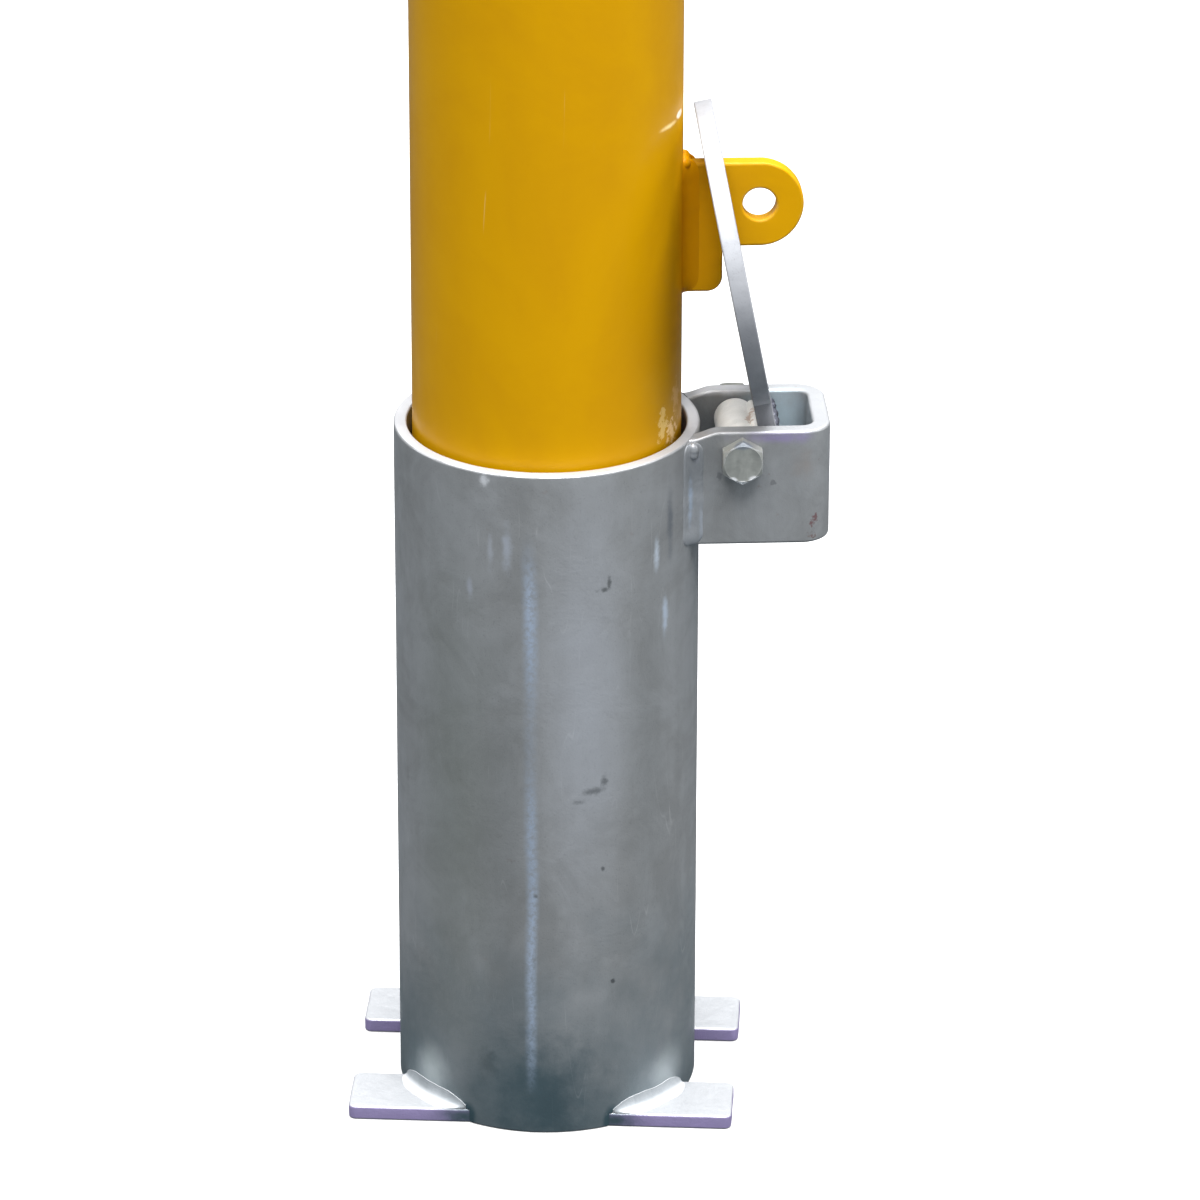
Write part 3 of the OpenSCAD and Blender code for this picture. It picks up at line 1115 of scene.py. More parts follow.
BRACKET_WELD_MARKS = (
    # Painted highlights on the bracket's welds: a bright drop at the top and pale streaks down them.
    Mark((48, -19.6, 233.5), (2.2, 3, 4.5), (240, 238, 250), 0.9, 0.2, 300, 0.9),
    Mark((46.2, -22.8, 219), (1.2, 3, 13), (182, 200, 222), 0.6, 0.3, 300, 1),
    Mark((50, -21.3, 211), (1.2, 3, 10), (190, 200, 214), 0.4, 0.3, 300, 1),
)

BRACKET_MARKS = (
    Mark((87.5, -21.3, 210.8), (2.2, 2, 2.2), (118, 82, 84), 0.8, 0.8, 520),
    Mark((86.6, -21.3, 205.8), (1.6, 2, 1.6), (112, 80, 76), 0.7, 0.8, 520),
    Mark((73.5, -21.3, 224.5), (1, 2, 1), (104, 106, 108), 0.5, 0.6, 520),
    Mark((56, -21.3, 227), (1.2, 2, 2), (98, 100, 104), 0.5, 0.6, 520),
    Mark((75, -21.3, 240.2), (19, 2, 3), (166, 150, 204), 0.6, 0.2, 200, 1),
    Mark((84, -21.3, 231), (7, 2, 7), (160, 148, 140), 0.4, 0.3, 200, 1),
    # Painted reflection on the inside of the rear leg.
    Mark((77, 15.3, 230), (17, 4, 19), (196, 216, 226), 0.9, 0.1, 100, 0.8),
    # Painted light on the rear leg's top, where the lid and the post shade it.
    Mark((58, 18.5, 242), (16, 6, 2.4), (244, 245, 248), 0.9, 0.1, 100, 0.8),
)

LUG_MARKS = (
    # Painted light on the lug's root, where the lid shades it.
    Mark((50, -3, 300), (11, 6, 44), (242, 174, 0), 0.8, 0.1, 60, 0.9),
)

LID_MARKS = (
    # Painted shade on the lid's foot, painted light on its lower rim and painted shade further up its
    # front edge.
    Mark((71.5, -13, 243.1), (10, 8, 20), (104, 107, 114), 0.62, 0.2, 200, 1),
    Mark((69, -29, 251), (10, 10, 10), (222, 223, 227), 0.50, 0.1, 100, 1),
    Mark((62, -49, 285), (12, 8, 22), (120, 123, 130), 0.40, 0.1, 100, 1),
)

POST_MARKS = (
    # A pale scratch on the post above the lug, painted brighter with its highlight.
    Mark((38.5, -22.2, 349.3), (5.6, 9.8, 1.2), (252, 226, 160), 0.8, 0.12, 500, 0.9),
    Mark((42.5, -13.5, 350.4), (3, 4.2, 1.6), (255, 250, 236), 0.95, 0.1, 500),
    Mark((44, -6.1, 333.6), (2, 2.4, 2.2), (255, 178, 0), 0.9, 0.3, 500),
    Mark((41.7, -15.3, 252.6), (3, 3.6, 6.2), (222, 176, 108), 0.6, 0.9, 420),
    Mark((40.3, -18.8, 242.7), (3, 4, 4.8), (240, 206, 150), 0.8, 1, 420),
    Mark((37, -24.7, 246.9), (2.4, 2.8, 6), (235, 205, 130), 0.6, 0.9, 420),
    # Painted light on the post's right side, where the lid shades it.
    Mark((44.5, -6, 300), (7, 20, 90), (250, 184, 10), 0.8, 0.1, 60, 1),
    # Painted shade on the cap's top, against the light from above.
    Mark((0, 0, 1140), (90, 90, 15), (160, 115, 0), 0.9, 0.05, 60, 0.4),
)


@dataclass
class GroundSocket:
    """The tube that is set in the ground, with two flat bars across its foot."""

    radius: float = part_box("socket_tube")[1].y
    wall: float = 4.5 * MM
    length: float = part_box("socket_tube")[1].z
    bar_thickness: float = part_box("anchor_bar_front")[1].z
    bar_length: float = 130 * MM
    bar_width: float = 25 * MM
    bar_offset: float = 32 * MM
    bar_corner: float = 2.5 * MM
    skew: float = math.radians(-6)
    leg: float = 5 * MM
    notch_gap: float = 0.2 * MM
    rim_edge: float = 0.9 * MM
    bar_edge: float = 0.8 * MM
    seam_height: float = 0.12 * MM
    seam_width: float = 1.6 * MM
    segments: int = 216
    # The tube's zinc carries painted light on its rim's top.
    zinc: Finish = SocketZinc("zinc_tube", TUBE_MARKS, rust=0.12, painted_top_light=0.65)
    # The bars carry a painted purple reflection on their upright faces and painted shade on their
    # edges.
    bar_zinc: Finish = Galvanised(
        "zinc_bar", BAR_MARKS, dark=srgb(168, 170, 173), light=srgb(190, 192, 195),
        edge=srgb(120, 119, 136), scale=60.0, wear=0.6, rust=0.1, bump=0.5,
        side_reflection=srgb(166, 148, 204), side_reflection_share=0.8,
    )
    # The foot welds carry painted light on the parts that face up.
    weld_zinc: Finish = Galvanised(
        "zinc_foot_weld", dark=srgb(124, 130, 134), light=srgb(156, 161, 165),
        crown=srgb(184, 186, 189), painted_top_light=1.0, metal=0.3, rough=(0.6, 0.72), scale=60.0,
        spangle=0.1, wear=0.0,
    )

    def outline(self, grown: float = 0.0) -> list[Point]:
        """Outline of a bar about its own middle."""
        x, y = self.bar_length / 2 + grown, self.bar_width / 2 + grown
        corners = [(sx * x, sy * y) for sx, sy in ((1, 1), (-1, 1), (-1, -1), (1, -1))]
        return rounded([(cx, cy, self.bar_corner) for cx, cy in corners], 5)

    def bar_place(self, side: Side, z: float) -> Matrix:
        """Where a bar lies, at a height."""
        turn = Matrix.Rotation(self.skew, 4, "Z")
        return turn @ Matrix.Translation((0, side.value * self.bar_offset, z))

    def tube(self) -> Piece:
        """Builds the tube with its notches for the bars."""
        outer, inner = self.radius - self.seam_height, self.radius - self.wall
        profile = ring_wall(outer, inner, 0.0, self.length, self.rim_edge, 5 * MM)
        wave = {
            "Waviness": 0.25 * MM, "Wave Scale": 26.0, "Seam Angle": SEAM_ANGLE % TURN,
            "Seam Height": self.seam_height, "Seam Width": self.seam_width,
        }
        wall = turned("socket_wall", profile, self.segments, wave)
        deep = 2 * (self.bar_thickness + self.notch_gap)
        cutters = [
            plate("notch", self.outline(self.notch_gap), [], deep, 0.0, self.bar_place(side, 0))
            for side in Side
        ]
        return dress(
            cut(wall, cutters), Body.SOCKET, Slot.SOCKET, self.zinc, "socket_tube", smooth=30
        )

    def bar(self, side: Side) -> Piece:
        """Builds one anchor bar."""
        outline = hand_cut(spaced(self.outline(), 3 * MM), 0.25 * MM, 160.0, side.value)
        piece = plate(
            f"foot_bar_{side.label}", outline, [], self.bar_thickness, self.bar_edge,
            self.bar_place(side, self.bar_thickness / 2),
        )
        name = f"anchor_bar_{side.label}"
        return dress(piece, Body.SOCKET, Slot.SOCKET, self.bar_zinc, name, smooth=50)

    def bar_weld(self, side: Side, end: int) -> Piece:
        """Builds the hollow fillet on a bar's top where one of its ends leaves the tube."""
        outer = self.bar_offset + self.bar_width / 2 - 0.3 * MM
        first = math.asin((outer - self.bar_width + 0.9 * MM) / self.radius)
        last = math.asin(outer / self.radius)
        stations = []
        for k in range(41):
            share = k / 40
            angle = first + (last - first) * share
            lump = noise.noise(Vector((share * 7, end * 3.1, side.value * 2.7)))
            leg = self.leg * (0.92 + 0.08 * lump) * (1 - abs(2 * share - 1) ** 4 * 0.7)
            out = Vector((end * math.cos(angle), side.value * math.sin(angle), 0))
            corner = out * self.radius + Vector((0, 0, self.bar_thickness))
            stations.append((corner, out, Vector((0, 0, 1)), leg))
        label = "right" if end > 0 else "left"
        piece = fillet(f"foot_weld_{side.label}_{label}", stations)
        for vertex in piece.data.vertices:
            vertex.co.y = side.value * min(side.value * vertex.co.y, outer)
        piece.data.transform(Matrix.Rotation(self.skew, 4, "Z"))
        name = f"anchor_weld_{side.label}"
        return dress(piece, Body.SOCKET, Slot.WELD, self.weld_zinc, name, smooth=60)

    def build(self) -> Iterator[Piece]:
        """Builds the socket's pieces."""
        yield self.tube()
        for side in Side:
            yield self.bar(side)
            yield self.bar_weld(side, 1)
            yield self.bar_weld(side, -1)


@dataclass
class HingeBracket:
    """The U of flat bar welded to the socket's rim, which holds the hinge bolt."""

    root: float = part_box("hinge_bracket")[0].x
    end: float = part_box("hinge_bracket")[1].x
    half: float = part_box("hinge_bracket")[1].y
    low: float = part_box("hinge_bracket")[0].z
    high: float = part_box("hinge_bracket")[1].z
    rim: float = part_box("socket_tube")[1].z
    socket_radius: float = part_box("socket_tube")[1].y
    thickness: float = 6 * MM
    bend: float = 10 * MM
    ramp: float = 10 * MM
    hole: float = 8.5 * MM
    edge: float = 1.1 * MM
    leg: float = 4.4 * MM
    ripple: float = 0.08
    # The bracket's zinc carries painted light on its top and painted shade on its rounded edges.
    zinc: Finish = Galvanised(
        "zinc_bracket", BRACKET_MARKS, edge=srgb(156, 157, 165), scale=46.0, wear=0.5, rust=0.25,
        bump=0.3, painted_top_light=0.25
    )
    weld_zinc: Finish = Galvanised(
        "zinc_weld", BRACKET_WELD_MARKS, dark=srgb(142, 146, 150), light=srgb(172, 175, 179),
        scale=90.0, spangle=0.1, wear=0.0,
    )

    def path(self) -> list[tuple[Vector, Vector]]:
        """Stations along the bar's middle line, each a point and its outward direction."""
        middle = self.half - self.thickness / 2
        radius = self.bend - self.thickness / 2
        straight = self.end - self.thickness / 2 - radius
        stations: list[tuple[Vector, Vector]] = []
        count, corner, back = 26, 12, 10
        leg = [self.root + (straight - self.root) * k / count for k in range(count)]

        def swing(start: float, y: float) -> Iterator[tuple[Vector, Vector]]:
            """Stations round one of the two bends."""
            for k in range(corner + 1):
                angle = math.radians(start + 90 * k / corner)
                out = Vector((math.cos(angle), math.sin(angle)))
                yield Vector((straight, y)) + out * radius, out

        stations += [(Vector((x, -middle)), Vector((0, -1))) for x in leg]
        stations += swing(-90, radius - middle)
        for k in range(1, back):
            y = (radius - middle) * (1 - 2 * k / back)
            stations.append((Vector((straight + radius, y)), Vector((1, 0))))
        stations += swing(0, middle - radius)
        stations += [(Vector((x, middle)), Vector((0, 1))) for x in reversed(leg)]
        return stations

    def top(self, x: float) -> float:
        """Height of the top edge, which climbs from the rim in a smooth ramp."""
        share = min(1.0, max(0.0, (x - self.root) / self.ramp))
        return self.rim + (self.high - self.rim) * share * share * (3 - 2 * share)

    def bar(self) -> Piece:
        """Builds the bent bar with its two bolt holes."""
        half = self.thickness / 2
        sections = []
        stations = self.path()
        for i, (point, out) in enumerate(stations):
            high = self.top(point.x)
            corners = [(-half, self.low), (half, self.low), (half, high), (-half, high)]
            loop = spaced(rounded([(n, z, self.edge) for n, z in corners], 4), 5 * MM)
            section = []
            for n, z in loop:
                x, y = point.x + out.x * n, point.y + out.y * n
                if i in (0, len(stations) - 1):
                    x = math.sqrt((self.socket_radius - 0.4 * MM) ** 2 - y * y)
                wave = noise.noise(Vector((x * 70, y * 70, z * 70))) * 0.12 * MM
                sink = -abs(wave) if abs(n) > half * 0.7 else 0.0
                section.append((x + out.x * sink * math.copysign(1, n),
                                y + out.y * sink * math.copysign(1, n), z))
            sections.append(section)
        count = min(len(s) for s in sections)
        if any(len(s) != count for s in sections):
            raise ValueError("the bracket's sections differ in length")
        piece = loft("bracket_bar", sections)
        far = 40 * MM
        core = [(0.0, -far), (self.hole / 2, -far), (self.hole / 2, far), (0.0, far)]
        drill = turned("drill", core, 64, place=along_y(HINGE.x, 0, HINGE.z))
        cut(piece, [drill])
        return dress(piece, Body.SOCKET, Slot.SOCKET, self.zinc, "hinge_bracket", smooth=40)

    def weld(self, side: Side) -> Iterator[Piece]:
        """Builds the upright weld between a leg and the tube, and the drop that ends it."""
        edge = side.value * self.half
        stations = corner_stations(
            self.socket_radius, edge, self.low + 0.4 * MM, self.rim - 0.6 * MM, self.leg,
            self.ripple, side.value + 3.0,
        )
        seam = fillet(f"bracket_seam_{side.label}", stations, 0.16)
        name = f"bracket_weld_{side.label}"
        yield dress(seam, Body.SOCKET, Slot.WELD, self.weld_zinc, name, smooth=70)
        x, y = self.root + 1.0 * MM, edge + side.value * 0.5 * MM
        heights = (self.rim - 4.8 * MM, self.rim - 3.6 * MM, self.rim - 2.6 * MM)
        drop = weld(
            f"bracket_drop_{side.label}", [(x, y, z) for z in heights], 1.9 * MM, pitch=0.3,
            rough=0.05, seed=11 + side.value, voxel=0.25 * MM, smooth=8,
        )
        yield dress(drop, Body.SOCKET, Slot.WELD, self.weld_zinc, name, smooth=180)

    def build(self) -> Iterator[Piece]:
        """Builds the bracket's pieces."""
        yield self.bar()
        for side in Side:
            yield from self.weld(side)


@dataclass
class HingeBolt:
    """The hexagon bolt through the bracket, with its washer and lock nut."""

    diameter: float = 8 * MM
    across_flats: float = 13 * MM
    thread_pitch: float = 1.25 * MM
    thread_depth: float = 0.55 * MM
    threaded: float = 11.5 * MM
    segments: int = 64
    head_start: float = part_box("hinge_bracket")[0].y
    head_end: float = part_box("hinge_bolt")[0].y
    tip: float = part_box("hinge_bolt")[1].y
    washer: tuple[float, float] = (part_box("nut_washer")[0].y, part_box("nut_washer")[1].y)
    washer_radius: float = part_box("nut_washer")[1].x - HINGE.x
    nut: tuple[float, float] = (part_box("hinge_nut")[0].y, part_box("hinge_nut")[1].y)
    insert: tuple[float, float] = (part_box("nut_insert")[0].y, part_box("nut_insert")[1].y)
    insert_radius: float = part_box("nut_insert")[1].x - HINGE.x
    plated: Finish = Plated("plated_steel")
    head_plated: Finish = Plated(
        "plated_head",
        (
            # Painted highlights on the head's lower chamfer.
            Mark((63, -25.8, 226.4), (3, 2.4, 1.3), (250, 251, 252), 1, 0.1),
            Mark((59.6, -25.8, 227.8), (2.4, 2.4, 1.3), (250, 251, 252), 1, 0.1),
            Mark((67, -25.8, 228), (2.6, 2.4, 1.4), (250, 251, 252), 1, 0.1),
            # Painted shade on the head's top.
            Mark((63.2, -25.8, 240), (5, 2.4, 2.2), (120, 132, 150), 0.6, 0.1),
        ),
        dark=srgb(150, 152, 148),
        light=srgb(184, 186, 180),
        metal=0.55,
    )
    nylon: Finish = Nylon("blue_nylon")

    def hexagon(self, name: str, height: float, bore: float) -> Piece:
        """Builds a hexagonal block from z = 0, chamfered at its far end.

        Args:
            name: The piece's name.
            height: Its height.
            bore: The radius of the hole through it, or 0.

        Returns:
            The block, with one corner on +Y.
        """
        crown = self.across_flats * 0.475
        slope = math.tan(math.radians(30))
        sunk = 0.0 if bore else 0.12 * MM
        sections: list[list[Place]] = []
        count = 72
        edge = 0.25 * MM
        for k in range(count):
            angle = TURN * k / count
            off = (math.degrees(angle) % 60) - 30
            reach = self.across_flats / 2 / math.cos(math.radians(off))
            shoulder = height - max(0.0, reach - crown) * slope
            profile = [
                (bore, 0.0), (reach - edge, 0.0), (reach, edge), (reach, shoulder), (crown, height),
                (crown - 0.5 * MM, height - sunk), (bore, height - sunk),
            ]
            sections.append([(r * math.cos(angle), r * math.sin(angle), z) for r, z in profile])
        per = len(sections[0])
        points = [p for s in sections for p in s]
        faces = [
            (i * per + j, ((i + 1) % count) * per + j,
             ((i + 1) % count) * per + (j + 1) % per, i * per + (j + 1) % per)
            for i in range(count)
            for j in range(per if bore else per - 1)
        ]
        piece = raw(name, points, faces)
        piece.data.transform(Matrix.Rotation(math.radians(30), 4, "Z"))
        tidy(piece.data)
        return piece

    def build(self) -> Iterator[Piece]:
        """Builds the bolt, the washer, the nut and its ring."""
        radius = self.diameter / 2
        length = self.tip - self.head_start
        head = self.hexagon("bolt_head", self.head_start - self.head_end, 0.0)
        head.data.transform(along_y(HINGE.x, self.head_start, HINGE.z, flip=True))
        chamfer = self.diameter / 8
        outline = [(radius, k * 0.15 * MM) for k in range(int((length - chamfer) / (0.15 * MM)))]
        profile = [
            (0.0, 0.0), *[p for p in outline if p[1] < 1 * MM or p[1] > length - 12 * MM],
            (radius, length - chamfer), (radius - chamfer * 0.6, length - chamfer * 0.3),
            (radius - chamfer, length), (0.0, length),
        ]
        thread = {
            "Thread Pitch": self.thread_pitch, "Thread Depth": self.thread_depth,
            "Thread Start": length - self.threaded,
        }
        place = along_y(HINGE.x, self.head_start, HINGE.z)
        shank = turned("bolt_shank", profile, 48, thread, place)
        yield dress(head, Body.SOCKET, Slot.FASTENER, self.head_plated, "hinge_bolt", smooth=20)
        yield dress(shank, Body.SOCKET, Slot.FASTENER, self.plated, "hinge_bolt", smooth=30)

        low, high = self.washer
        profile = ring_wall(self.washer_radius, radius + 0.25 * MM, 0, high - low, 0.3 * MM, 1)
        washer = turned("flat_washer", profile, self.segments, place=along_y(HINGE.x, low, HINGE.z))
        yield dress(washer, Body.SOCKET, Slot.FASTENER, self.plated, "nut_washer")

        low, high = self.nut
        bore = radius - 0.02 * MM
        collar = self.insert[0] - low
        nut = self.hexagon("nut_body", collar, bore)
        nut.data.transform(
            along_y(HINGE.x, low, HINGE.z) @ Matrix.Rotation(math.radians(30), 4, "Z")
        )
        ring = ring_wall(
            self.across_flats * 0.45, self.insert_radius, collar - 0.4 * MM, high - low, 0.2 * MM, 1
        )
        crown = turned("nut_collar", ring, self.segments, place=along_y(HINGE.x, low, HINGE.z))
        yield dress(nut, Body.SOCKET, Slot.FASTENER, self.plated, "hinge_nut", smooth=20)
        yield dress(crown, Body.SOCKET, Slot.FASTENER, self.plated, "hinge_nut")

        low, high = self.insert
        profile = ring_wall(self.insert_radius, bore, 0, high - low, 0.25 * MM, 1)
        insert = turned("nut_ring", profile, self.segments, place=along_y(HINGE.x, low, HINGE.z))
        yield dress(insert, Body.SOCKET, Slot.NYLON, self.nylon, "nut_insert")


@dataclass
class HingedLid:
    """The round lid with its slot and tongue, welded to the hinge barrel."""

    radius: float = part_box("lid_plate")[1].y
    inner: float = 7 * MM
    thickness: float = 6 * MM
    tongue: float = 13 * MM
    slot: Place = (64.40 * MM, 101.2 * MM, 5 * MM)
    lean: float = math.radians(11.075)
    barrel_half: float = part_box("hinge_barrel")[1].y
    bore: float = 4.08 * MM
    edge: float = 0.55 * MM
    steps: int = 140
    # The lid's zinc paints shade on its rounded edges with its dark edge colour.
    zinc: Finish = Galvanised(
        "zinc_lid", LID_MARKS, dark=srgb(150, 152, 157), light=srgb(170, 172, 177),
        edge=srgb(104, 106, 116), metal=0.25, rough=(0.5, 0.62), scale=40.0, wear=0.8,
    )
    # The barrel and the lid's bead are painted near white, as painted light from above.
    barrel_zinc: Finish = Galvanised(
        "zinc_barrel", (Mark((68, -1, 238.5), (3, 6, 3), (176, 142, 118), 0.6, 0.6),),
        dark=srgb(236, 237, 234), light=srgb(255, 255, 252), metal=0.1, scale=70.0, wear=0.2,
    )
    # The outer weld lumps are a dark weld, painted darker still as shade against the light from above.
    weld_zinc: Finish = Galvanised(
        "zinc_lid_weld", dark=srgb(46, 48, 58), light=srgb(82, 84, 94), scale=150.0, wear=0.0
    )

    @property
    def place(self) -> Matrix:
        """From the lid's own frame, z along the plate and x out from the axis, to the CAD's."""
        return Matrix.Translation(HINGE) @ Matrix.Rotation(-self.lean, 4, "Y")

    def placed(self, points: Sequence[Sequence[float]]) -> list[Vector]:
        """Moves points from the lid's own frame to the CAD's."""
        return [self.place @ Vector(p) for p in points]

    def plate(self) -> Piece:
        """Builds the disc, its tongue and its slot."""
        disc = HINGE.x
        half = math.asin(self.tongue / self.radius)
        sweep = TURN - 2 * half
        start = -math.pi / 2 + half
        arc = [
            (self.radius * math.cos(start + sweep * k / self.steps),
             disc + self.radius * math.sin(start + sweep * k / self.steps))
            for k in range(self.steps + 1)
        ]
        foot = [(-self.tongue, -self.thickness / 2), (self.tongue, -self.thickness / 2)]
        outline = hand_cut(spaced([*arc, *foot], 2.5 * MM), 0.16 * MM, 240.0, 0.4)
        low, high, side = self.slot
        corners = [(side, low), (side, high), (-side, high), (-side, low)]
        hole = rounded([(x, y, 1.0 * MM) for x, y in corners], 4)
        middle = self.inner + self.thickness / 2
        upright = Matrix(((0, 0, 1, middle), (1, 0, 0, 0), (0, 1, 0, 0), (0, 0, 0, 1)))
        piece = plate("lid_disc", outline, [hole], self.thickness, self.edge, self.place @ upright)
        return dress(piece, Body.LID, Slot.LID, self.zinc, "lid_plate", smooth=50)

    def build(self) -> Iterator[Piece]:
        """Builds the lid's pieces."""
        yield self.plate()
        profile = ring_wall(
            self.inner, self.bore, -self.barrel_half, self.barrel_half, 0.5 * MM, 3 * MM
        )
        wave = {"Waviness": 0.08 * MM, "Wave Scale": 120.0}
        barrel = turned("hinge_tube", profile, 72, wave, along_y(HINGE.x, 0, HINGE.z))
        yield dress(barrel, Body.LID, Slot.LID, self.barrel_zinc, "hinge_barrel")
        reach = self.tongue - 1.6 * MM
        corner = [(6.2 * MM, y, 4.7 * MM) for y in (-reach, reach)]
        bead = weld(
            "lid_bead", self.placed(corner), 1.5 * MM, pitch=0.4, rough=0.07, seed=5, smooth=10
        )
        yield dress(bead, Body.LID, Slot.WELD, self.barrel_zinc, "lid_weld", smooth=180)
        outside = [(self.inner + self.thickness - 0.2 * MM, y, 3.4 * MM) for y in (-reach, reach)]
        lumps = weld("lid_lumps", self.placed(outside), 1.5 * MM, pitch=1.5, rough=0.3, seed=9)
        yield dress(lumps, Body.LID, Slot.WELD, self.weld_zinc, "lid_weld", smooth=180)


@dataclass
class Post:
    """The yellow post with its padlock lug and domed cap."""

    radius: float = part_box("post_cap")[1].x
    wall: float = 3.2 * MM
    foot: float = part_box("post_tube")[0].z
    tube_top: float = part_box("post_tube")[1].z
    top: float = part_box("post_cap")[1].z
    cap_edge: float = 4 * MM
    cap_plate: float = 3 * MM
    lug_low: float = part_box("padlock_lug")[0].z
    lug_top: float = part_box("padlock_lug")[1].z
    lug_tip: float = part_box("padlock_lug")[1].x
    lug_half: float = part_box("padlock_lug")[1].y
    shoulder: float = 57.4 * MM
    eye_low: float = 300.5 * MM
    hole: float = 5.5 * MM
    leg: float = 5.4 * MM
    ripple: float = 0.07
    cap_shoulder: float = 2.2 * MM
    segments: int = 160
    coat: Finish = YellowCoat("yellow_post", POST_MARKS)
    lug_coat: Finish = YellowCoat("yellow_lug", LUG_MARKS, wear=0.8)
    # The welds' coat is painted brighter than the post's, as painted light where the lid shades the
    # lug.
    weld_coat: Finish = YellowCoat(
        "yellow_weld", deep=srgb(214, 146, 0), bright=srgb(222, 156, 0), wear=0.0, peel=0.2
    )

    def lug(self) -> Piece:
        """Builds the lug with its padlock hole."""
        eye = (self.lug_top - self.eye_low) / 2
        root = self.radius - 1.5 * MM
        corners = [
            (root, self.lug_low, 0.0), (self.shoulder, self.lug_low, 5 * MM),
            (self.shoulder, self.eye_low, 1.5 * MM), (self.lug_tip, self.eye_low, eye - 0.01 * MM),
            (self.lug_tip, self.lug_top, eye - 0.01 * MM), (root, self.lug_top, 0.0),
        ]
        outline = hand_cut(spaced(rounded(corners, 18), 2 * MM), 0.14 * MM, 260.0, 0.7)
        hole = circle(self.lug_tip - eye, self.eye_low + eye, self.hole, 48)
        upright = Matrix.Rotation(math.radians(90), 4, "X")
        piece = plate("lug_plate", outline, [hole], 2 * self.lug_half, 0.8 * MM, upright)
        return dress(piece, Body.POST, Slot.COAT, self.lug_coat, "padlock_lug", smooth=50)

    def lug_weld(self, side: Side) -> Piece:
        """Builds the soft weld between one side of the lug and the tube."""
        stations = corner_stations(
            self.radius - 0.1 * MM, side.value * self.lug_half, self.lug_low + 0.3 * MM,
            self.lug_top + 1.6 * MM, self.leg, self.ripple, side.value + 8.0,
        )
        piece = fillet(f"lug_seam_{side.label}", stations, 0.1)
        name = f"lug_weld_{side.label}"
        return dress(piece, Body.POST, Slot.COAT, self.weld_coat, name, smooth=70)

    def cap_profile(self) -> list[Point]:
        """Profile of the domed cap, up its outside and back along its underside."""
        rise = self.top - self.tube_top - self.cap_edge
        dome = (self.radius**2 + rise**2) / (2 * rise)
        shoulder = self.cap_shoulder
        inside = self.radius - self.wall
        centre = self.top - dome
        outer = [(self.radius, self.tube_top + k * MM) for k in range(4)]
        curve = []
        for k in range(25):
            r = (self.radius - shoulder) * (1 - k / 24)
            curve.append((r, centre + math.sqrt(dome * dome - r * r)))
        knee = [
            (self.radius - 0.10 * shoulder, self.tube_top + self.cap_edge + 0.05 * MM),
            (self.radius - 0.45 * shoulder, self.tube_top + self.cap_edge + 0.42 * MM),
        ]
        under_radius = dome - self.cap_plate
        under = []
        for k in range(13):
            r = inside * k / 12
            under.append((r, centre + math.sqrt(under_radius**2 - r * r)))
        return [*outer, *knee, *curve, *under, (inside, self.tube_top)]

    def build(self) -> Iterator[Piece]:
        """Builds the post's pieces."""
        profile = ring_wall(
            self.radius, self.radius - self.wall, self.foot, self.tube_top, 0.5 * MM, 12 * MM
        )
        wave = {"Waviness": 0.12 * MM, "Wave Scale": 14.0}
        tube = turned("post_wall", profile, self.segments, wave)
        yield dress(tube, Body.POST, Slot.COAT, self.coat, "post_tube")
        cap = turned("post_dome", self.cap_profile(), self.segments)
        yield dress(cap, Body.POST, Slot.COAT, self.coat, "post_cap")
        ring = [(*p, self.tube_top) for p in circle(0, 0, self.radius - 0.35 * MM, 180)]
        seam = weld(
            "cap_bead", ring, 1.05 * MM, pitch=1.1, rough=0.1, seed=3, closed=True, smooth=3
        )
        yield dress(seam, Body.POST, Slot.COAT, self.coat, "cap_weld", smooth=180)
        yield self.lug()
        for side in Side:
            yield self.lug_weld(side)
        x = self.radius + 0.2 * MM
        crown = [(x, y, self.lug_top + 0.4 * MM) for y in (-2.6 * MM, 2.6 * MM)]
        drop = weld("lug_crown_bead", crown, 2.2 * MM, pitch=0.5, rough=0.12, seed=31, smooth=6)
        yield dress(drop, Body.POST, Slot.COAT, self.weld_coat, "lug_weld_front", smooth=180)


# ---------------------------------------------------------------- the studio


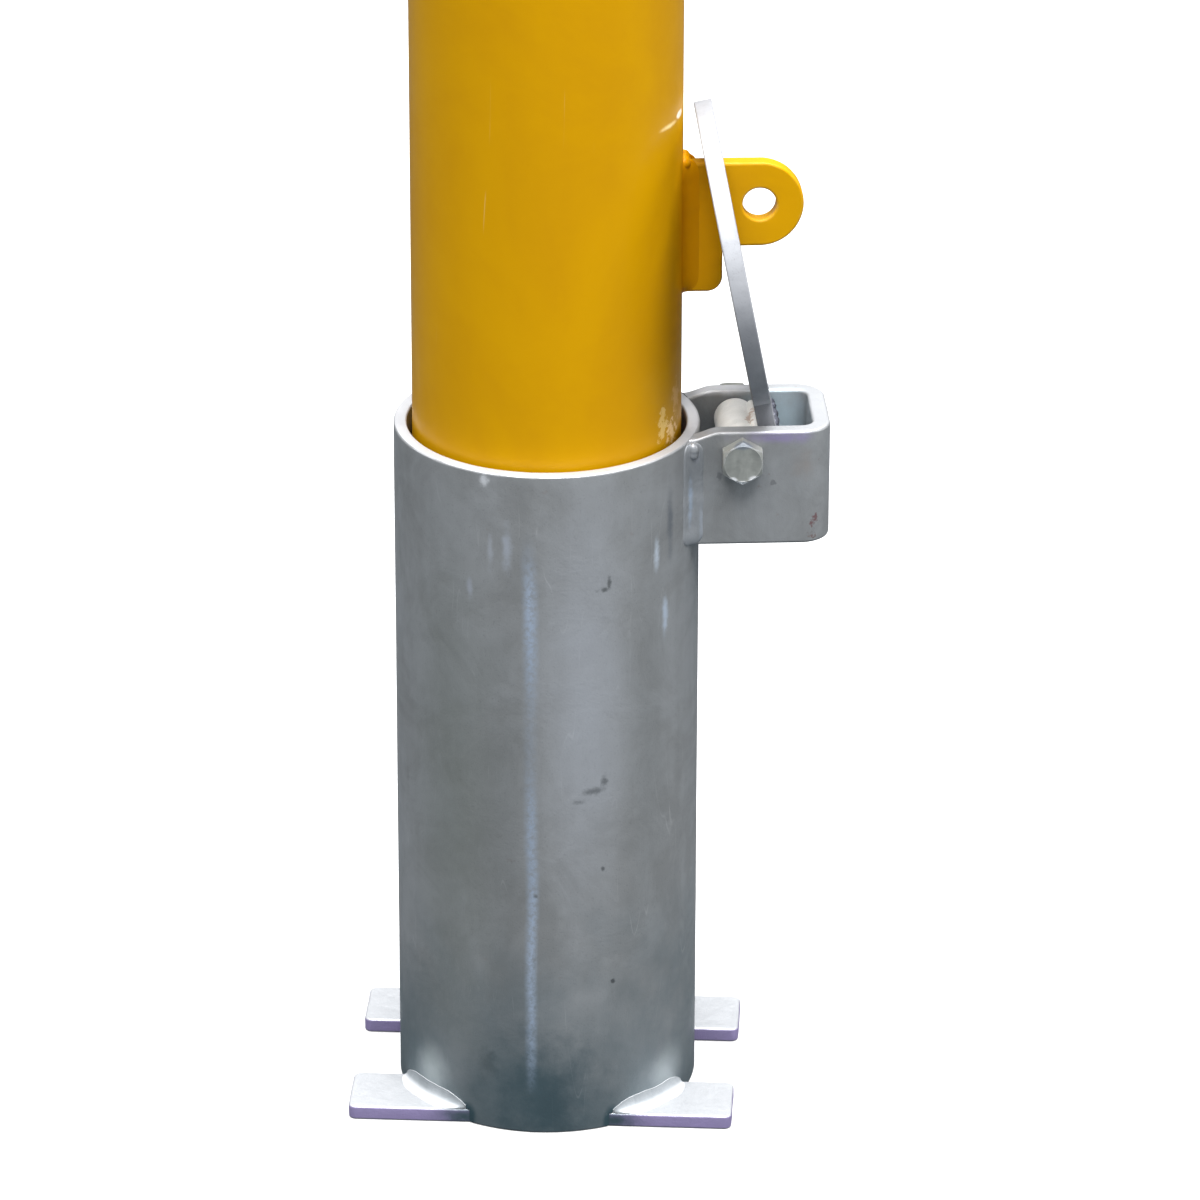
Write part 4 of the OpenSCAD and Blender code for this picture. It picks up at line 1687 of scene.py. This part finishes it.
@dataclass
class Studio:
    """A plain white floor, soft light from above and the camera."""

    floor_radius: float = 30.0
    heading: float = 0.0506
    pitch: float = 0.415
    roll: float = 0.0022
    camera_place: Place = (-0.0853, -2.0348, 1.0717)
    lens: float = 199.95

    def floor(self) -> None:
        """Lays the floor, which looks white but throws little light back."""
        points = [(x, y, 0.0) for x, y in circle(0, 0, self.floor_radius, 64)]
        floor = raw("floor", points, [tuple(range(64))])
        material = bpy.data.materials.new("floor_white")
        material.use_nodes = True
        g = Graph(material.node_tree)
        shader = material.node_tree.nodes["Principled BSDF"]
        spot = g.add("ShaderNodeTexCoord").outputs["Object"]
        g.feed(shader, "Base Color", g.mix(g.noise(spot, 3.0), (0.34, 0.34, 0.34), (0.37, 0.37, 0.37)))
        shader.inputs["Roughness"].default_value = 0.9
        dim = g.add("ShaderNodeBsdfDiffuse", {"Color": (0.05, 0.058, 0.064)})
        glow = g.add("ShaderNodeEmission", {"Color": (1.0, 1.0, 1.0), "Strength": 0.48})
        bright = g.add("ShaderNodeAddShader", {0: shader, 1: glow})
        seen = g.add("ShaderNodeLightPath").outputs["Is Camera Ray"]
        both = g.add("ShaderNodeMixShader", {0: seen, 1: dim, 2: bright})
        g.feed(material.node_tree.nodes["Material Output"], "Surface", both)
        floor.data.materials.append(material)
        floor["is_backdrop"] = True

    def lamp(
        self,
        name: str,
        place: Place,
        aim: Place,
        size: float,
        watts: float,
        colour: Colour,
    ) -> None:
        """Hangs a square soft lamp that points at a spot."""
        light = bpy.data.lights.new(name, "AREA")
        light.shape = "SQUARE"
        light.size = size
        light.energy = watts
        light.color = colour
        lamp = bpy.data.objects.new(name, light)
        lamp.location = place
        lamp.rotation_euler = (Vector(aim) - Vector(place)).to_track_quat("-Z", "Y").to_euler()
        bpy.context.scene.collection.objects.link(lamp)

    def world(self) -> None:
        """Makes a surround that is white to look at and dim at the sides as a light."""
        world = bpy.data.worlds.new("surround")
        world.use_nodes = True
        g = Graph(world.node_tree)
        for node in list(world.node_tree.nodes):
            world.node_tree.nodes.remove(node)
        height = g.add(
            "ShaderNodeSeparateXYZ", {0: g.add("ShaderNodeTexCoord").outputs["Generated"]}
        ).outputs[2]
        lit = g.mix(g.fade(height, 0.05, 0.75), (0.27, 0.28, 0.30), (1.0, 1.02, 1.05))
        low = g.add("ShaderNodeBackground", {"Color": lit, "Strength": 0.9})
        white = g.add("ShaderNodeBackground", {"Color": (1.0, 1.0, 1.0), "Strength": 1.05})
        seen = g.add("ShaderNodeLightPath").outputs["Is Camera Ray"]
        both = g.add("ShaderNodeMixShader", {0: seen, 1: low, 2: white})
        g.add("ShaderNodeOutputWorld", {"Surface": both})
        bpy.context.scene.world = world

    def camera(self) -> None:
        """Puts the camera in front of the socket, looking down at it."""
        flat = Vector((math.sin(self.heading), math.cos(self.heading), 0))
        ahead = flat * math.cos(self.pitch) - Vector((0, 0, math.sin(self.pitch)))
        right = Vector((math.cos(self.heading), -math.sin(self.heading), 0))
        up = right.cross(ahead)
        c, s = math.cos(self.roll), math.sin(self.roll)
        axes = (right * c + up * s, up * c - right * s, -ahead)
        data = bpy.data.cameras.new("camera")
        data.lens = self.lens
        data.sensor_width = 36.0
        camera = bpy.data.objects.new("camera", data)
        turn = Matrix(axes).transposed().to_4x4()
        camera.matrix_world = Matrix.Translation(self.camera_place) @ turn
        bpy.context.scene.collection.objects.link(camera)
        bpy.context.scene.camera = camera

    def build(self) -> None:
        """Sets up the whole studio."""
        self.camera()
        self.floor()
        self.world()
        self.lamp("overhead", (0.15, -0.75, 5.0), (0, 0, 0), 4.6, 1060.0, (1.0, 1.0, 1.0))
        self.lamp("front", (0.5, -2.6, 1.4), (0, 0, 0.3), 1.6, 6.5, (1.0, 0.99, 0.97))
        self.lamp("side", (2.55, -0.6, 0.9), (0, 0, 0.25), 1.2, 13.0, (1.0, 1.0, 1.0))
        bpy.context.scene.view_settings.view_transform = "Standard"


def main() -> None:
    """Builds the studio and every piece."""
    logging.basicConfig(level=logging.INFO, format="%(name)s: %(message)s")
    Studio().build()
    for part in (GroundSocket(), HingeBracket(), HingeBolt(), HingedLid(), Post()):
        for piece in part.build():
            LOG.info("%s: %s, %d faces", type(part).__name__, piece.name, len(piece.data.polygons))
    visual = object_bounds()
    boxes = {"cad": CAD_BOX, "visual": visual}
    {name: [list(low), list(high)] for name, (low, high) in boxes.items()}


if __name__ == "__main__":
    main()
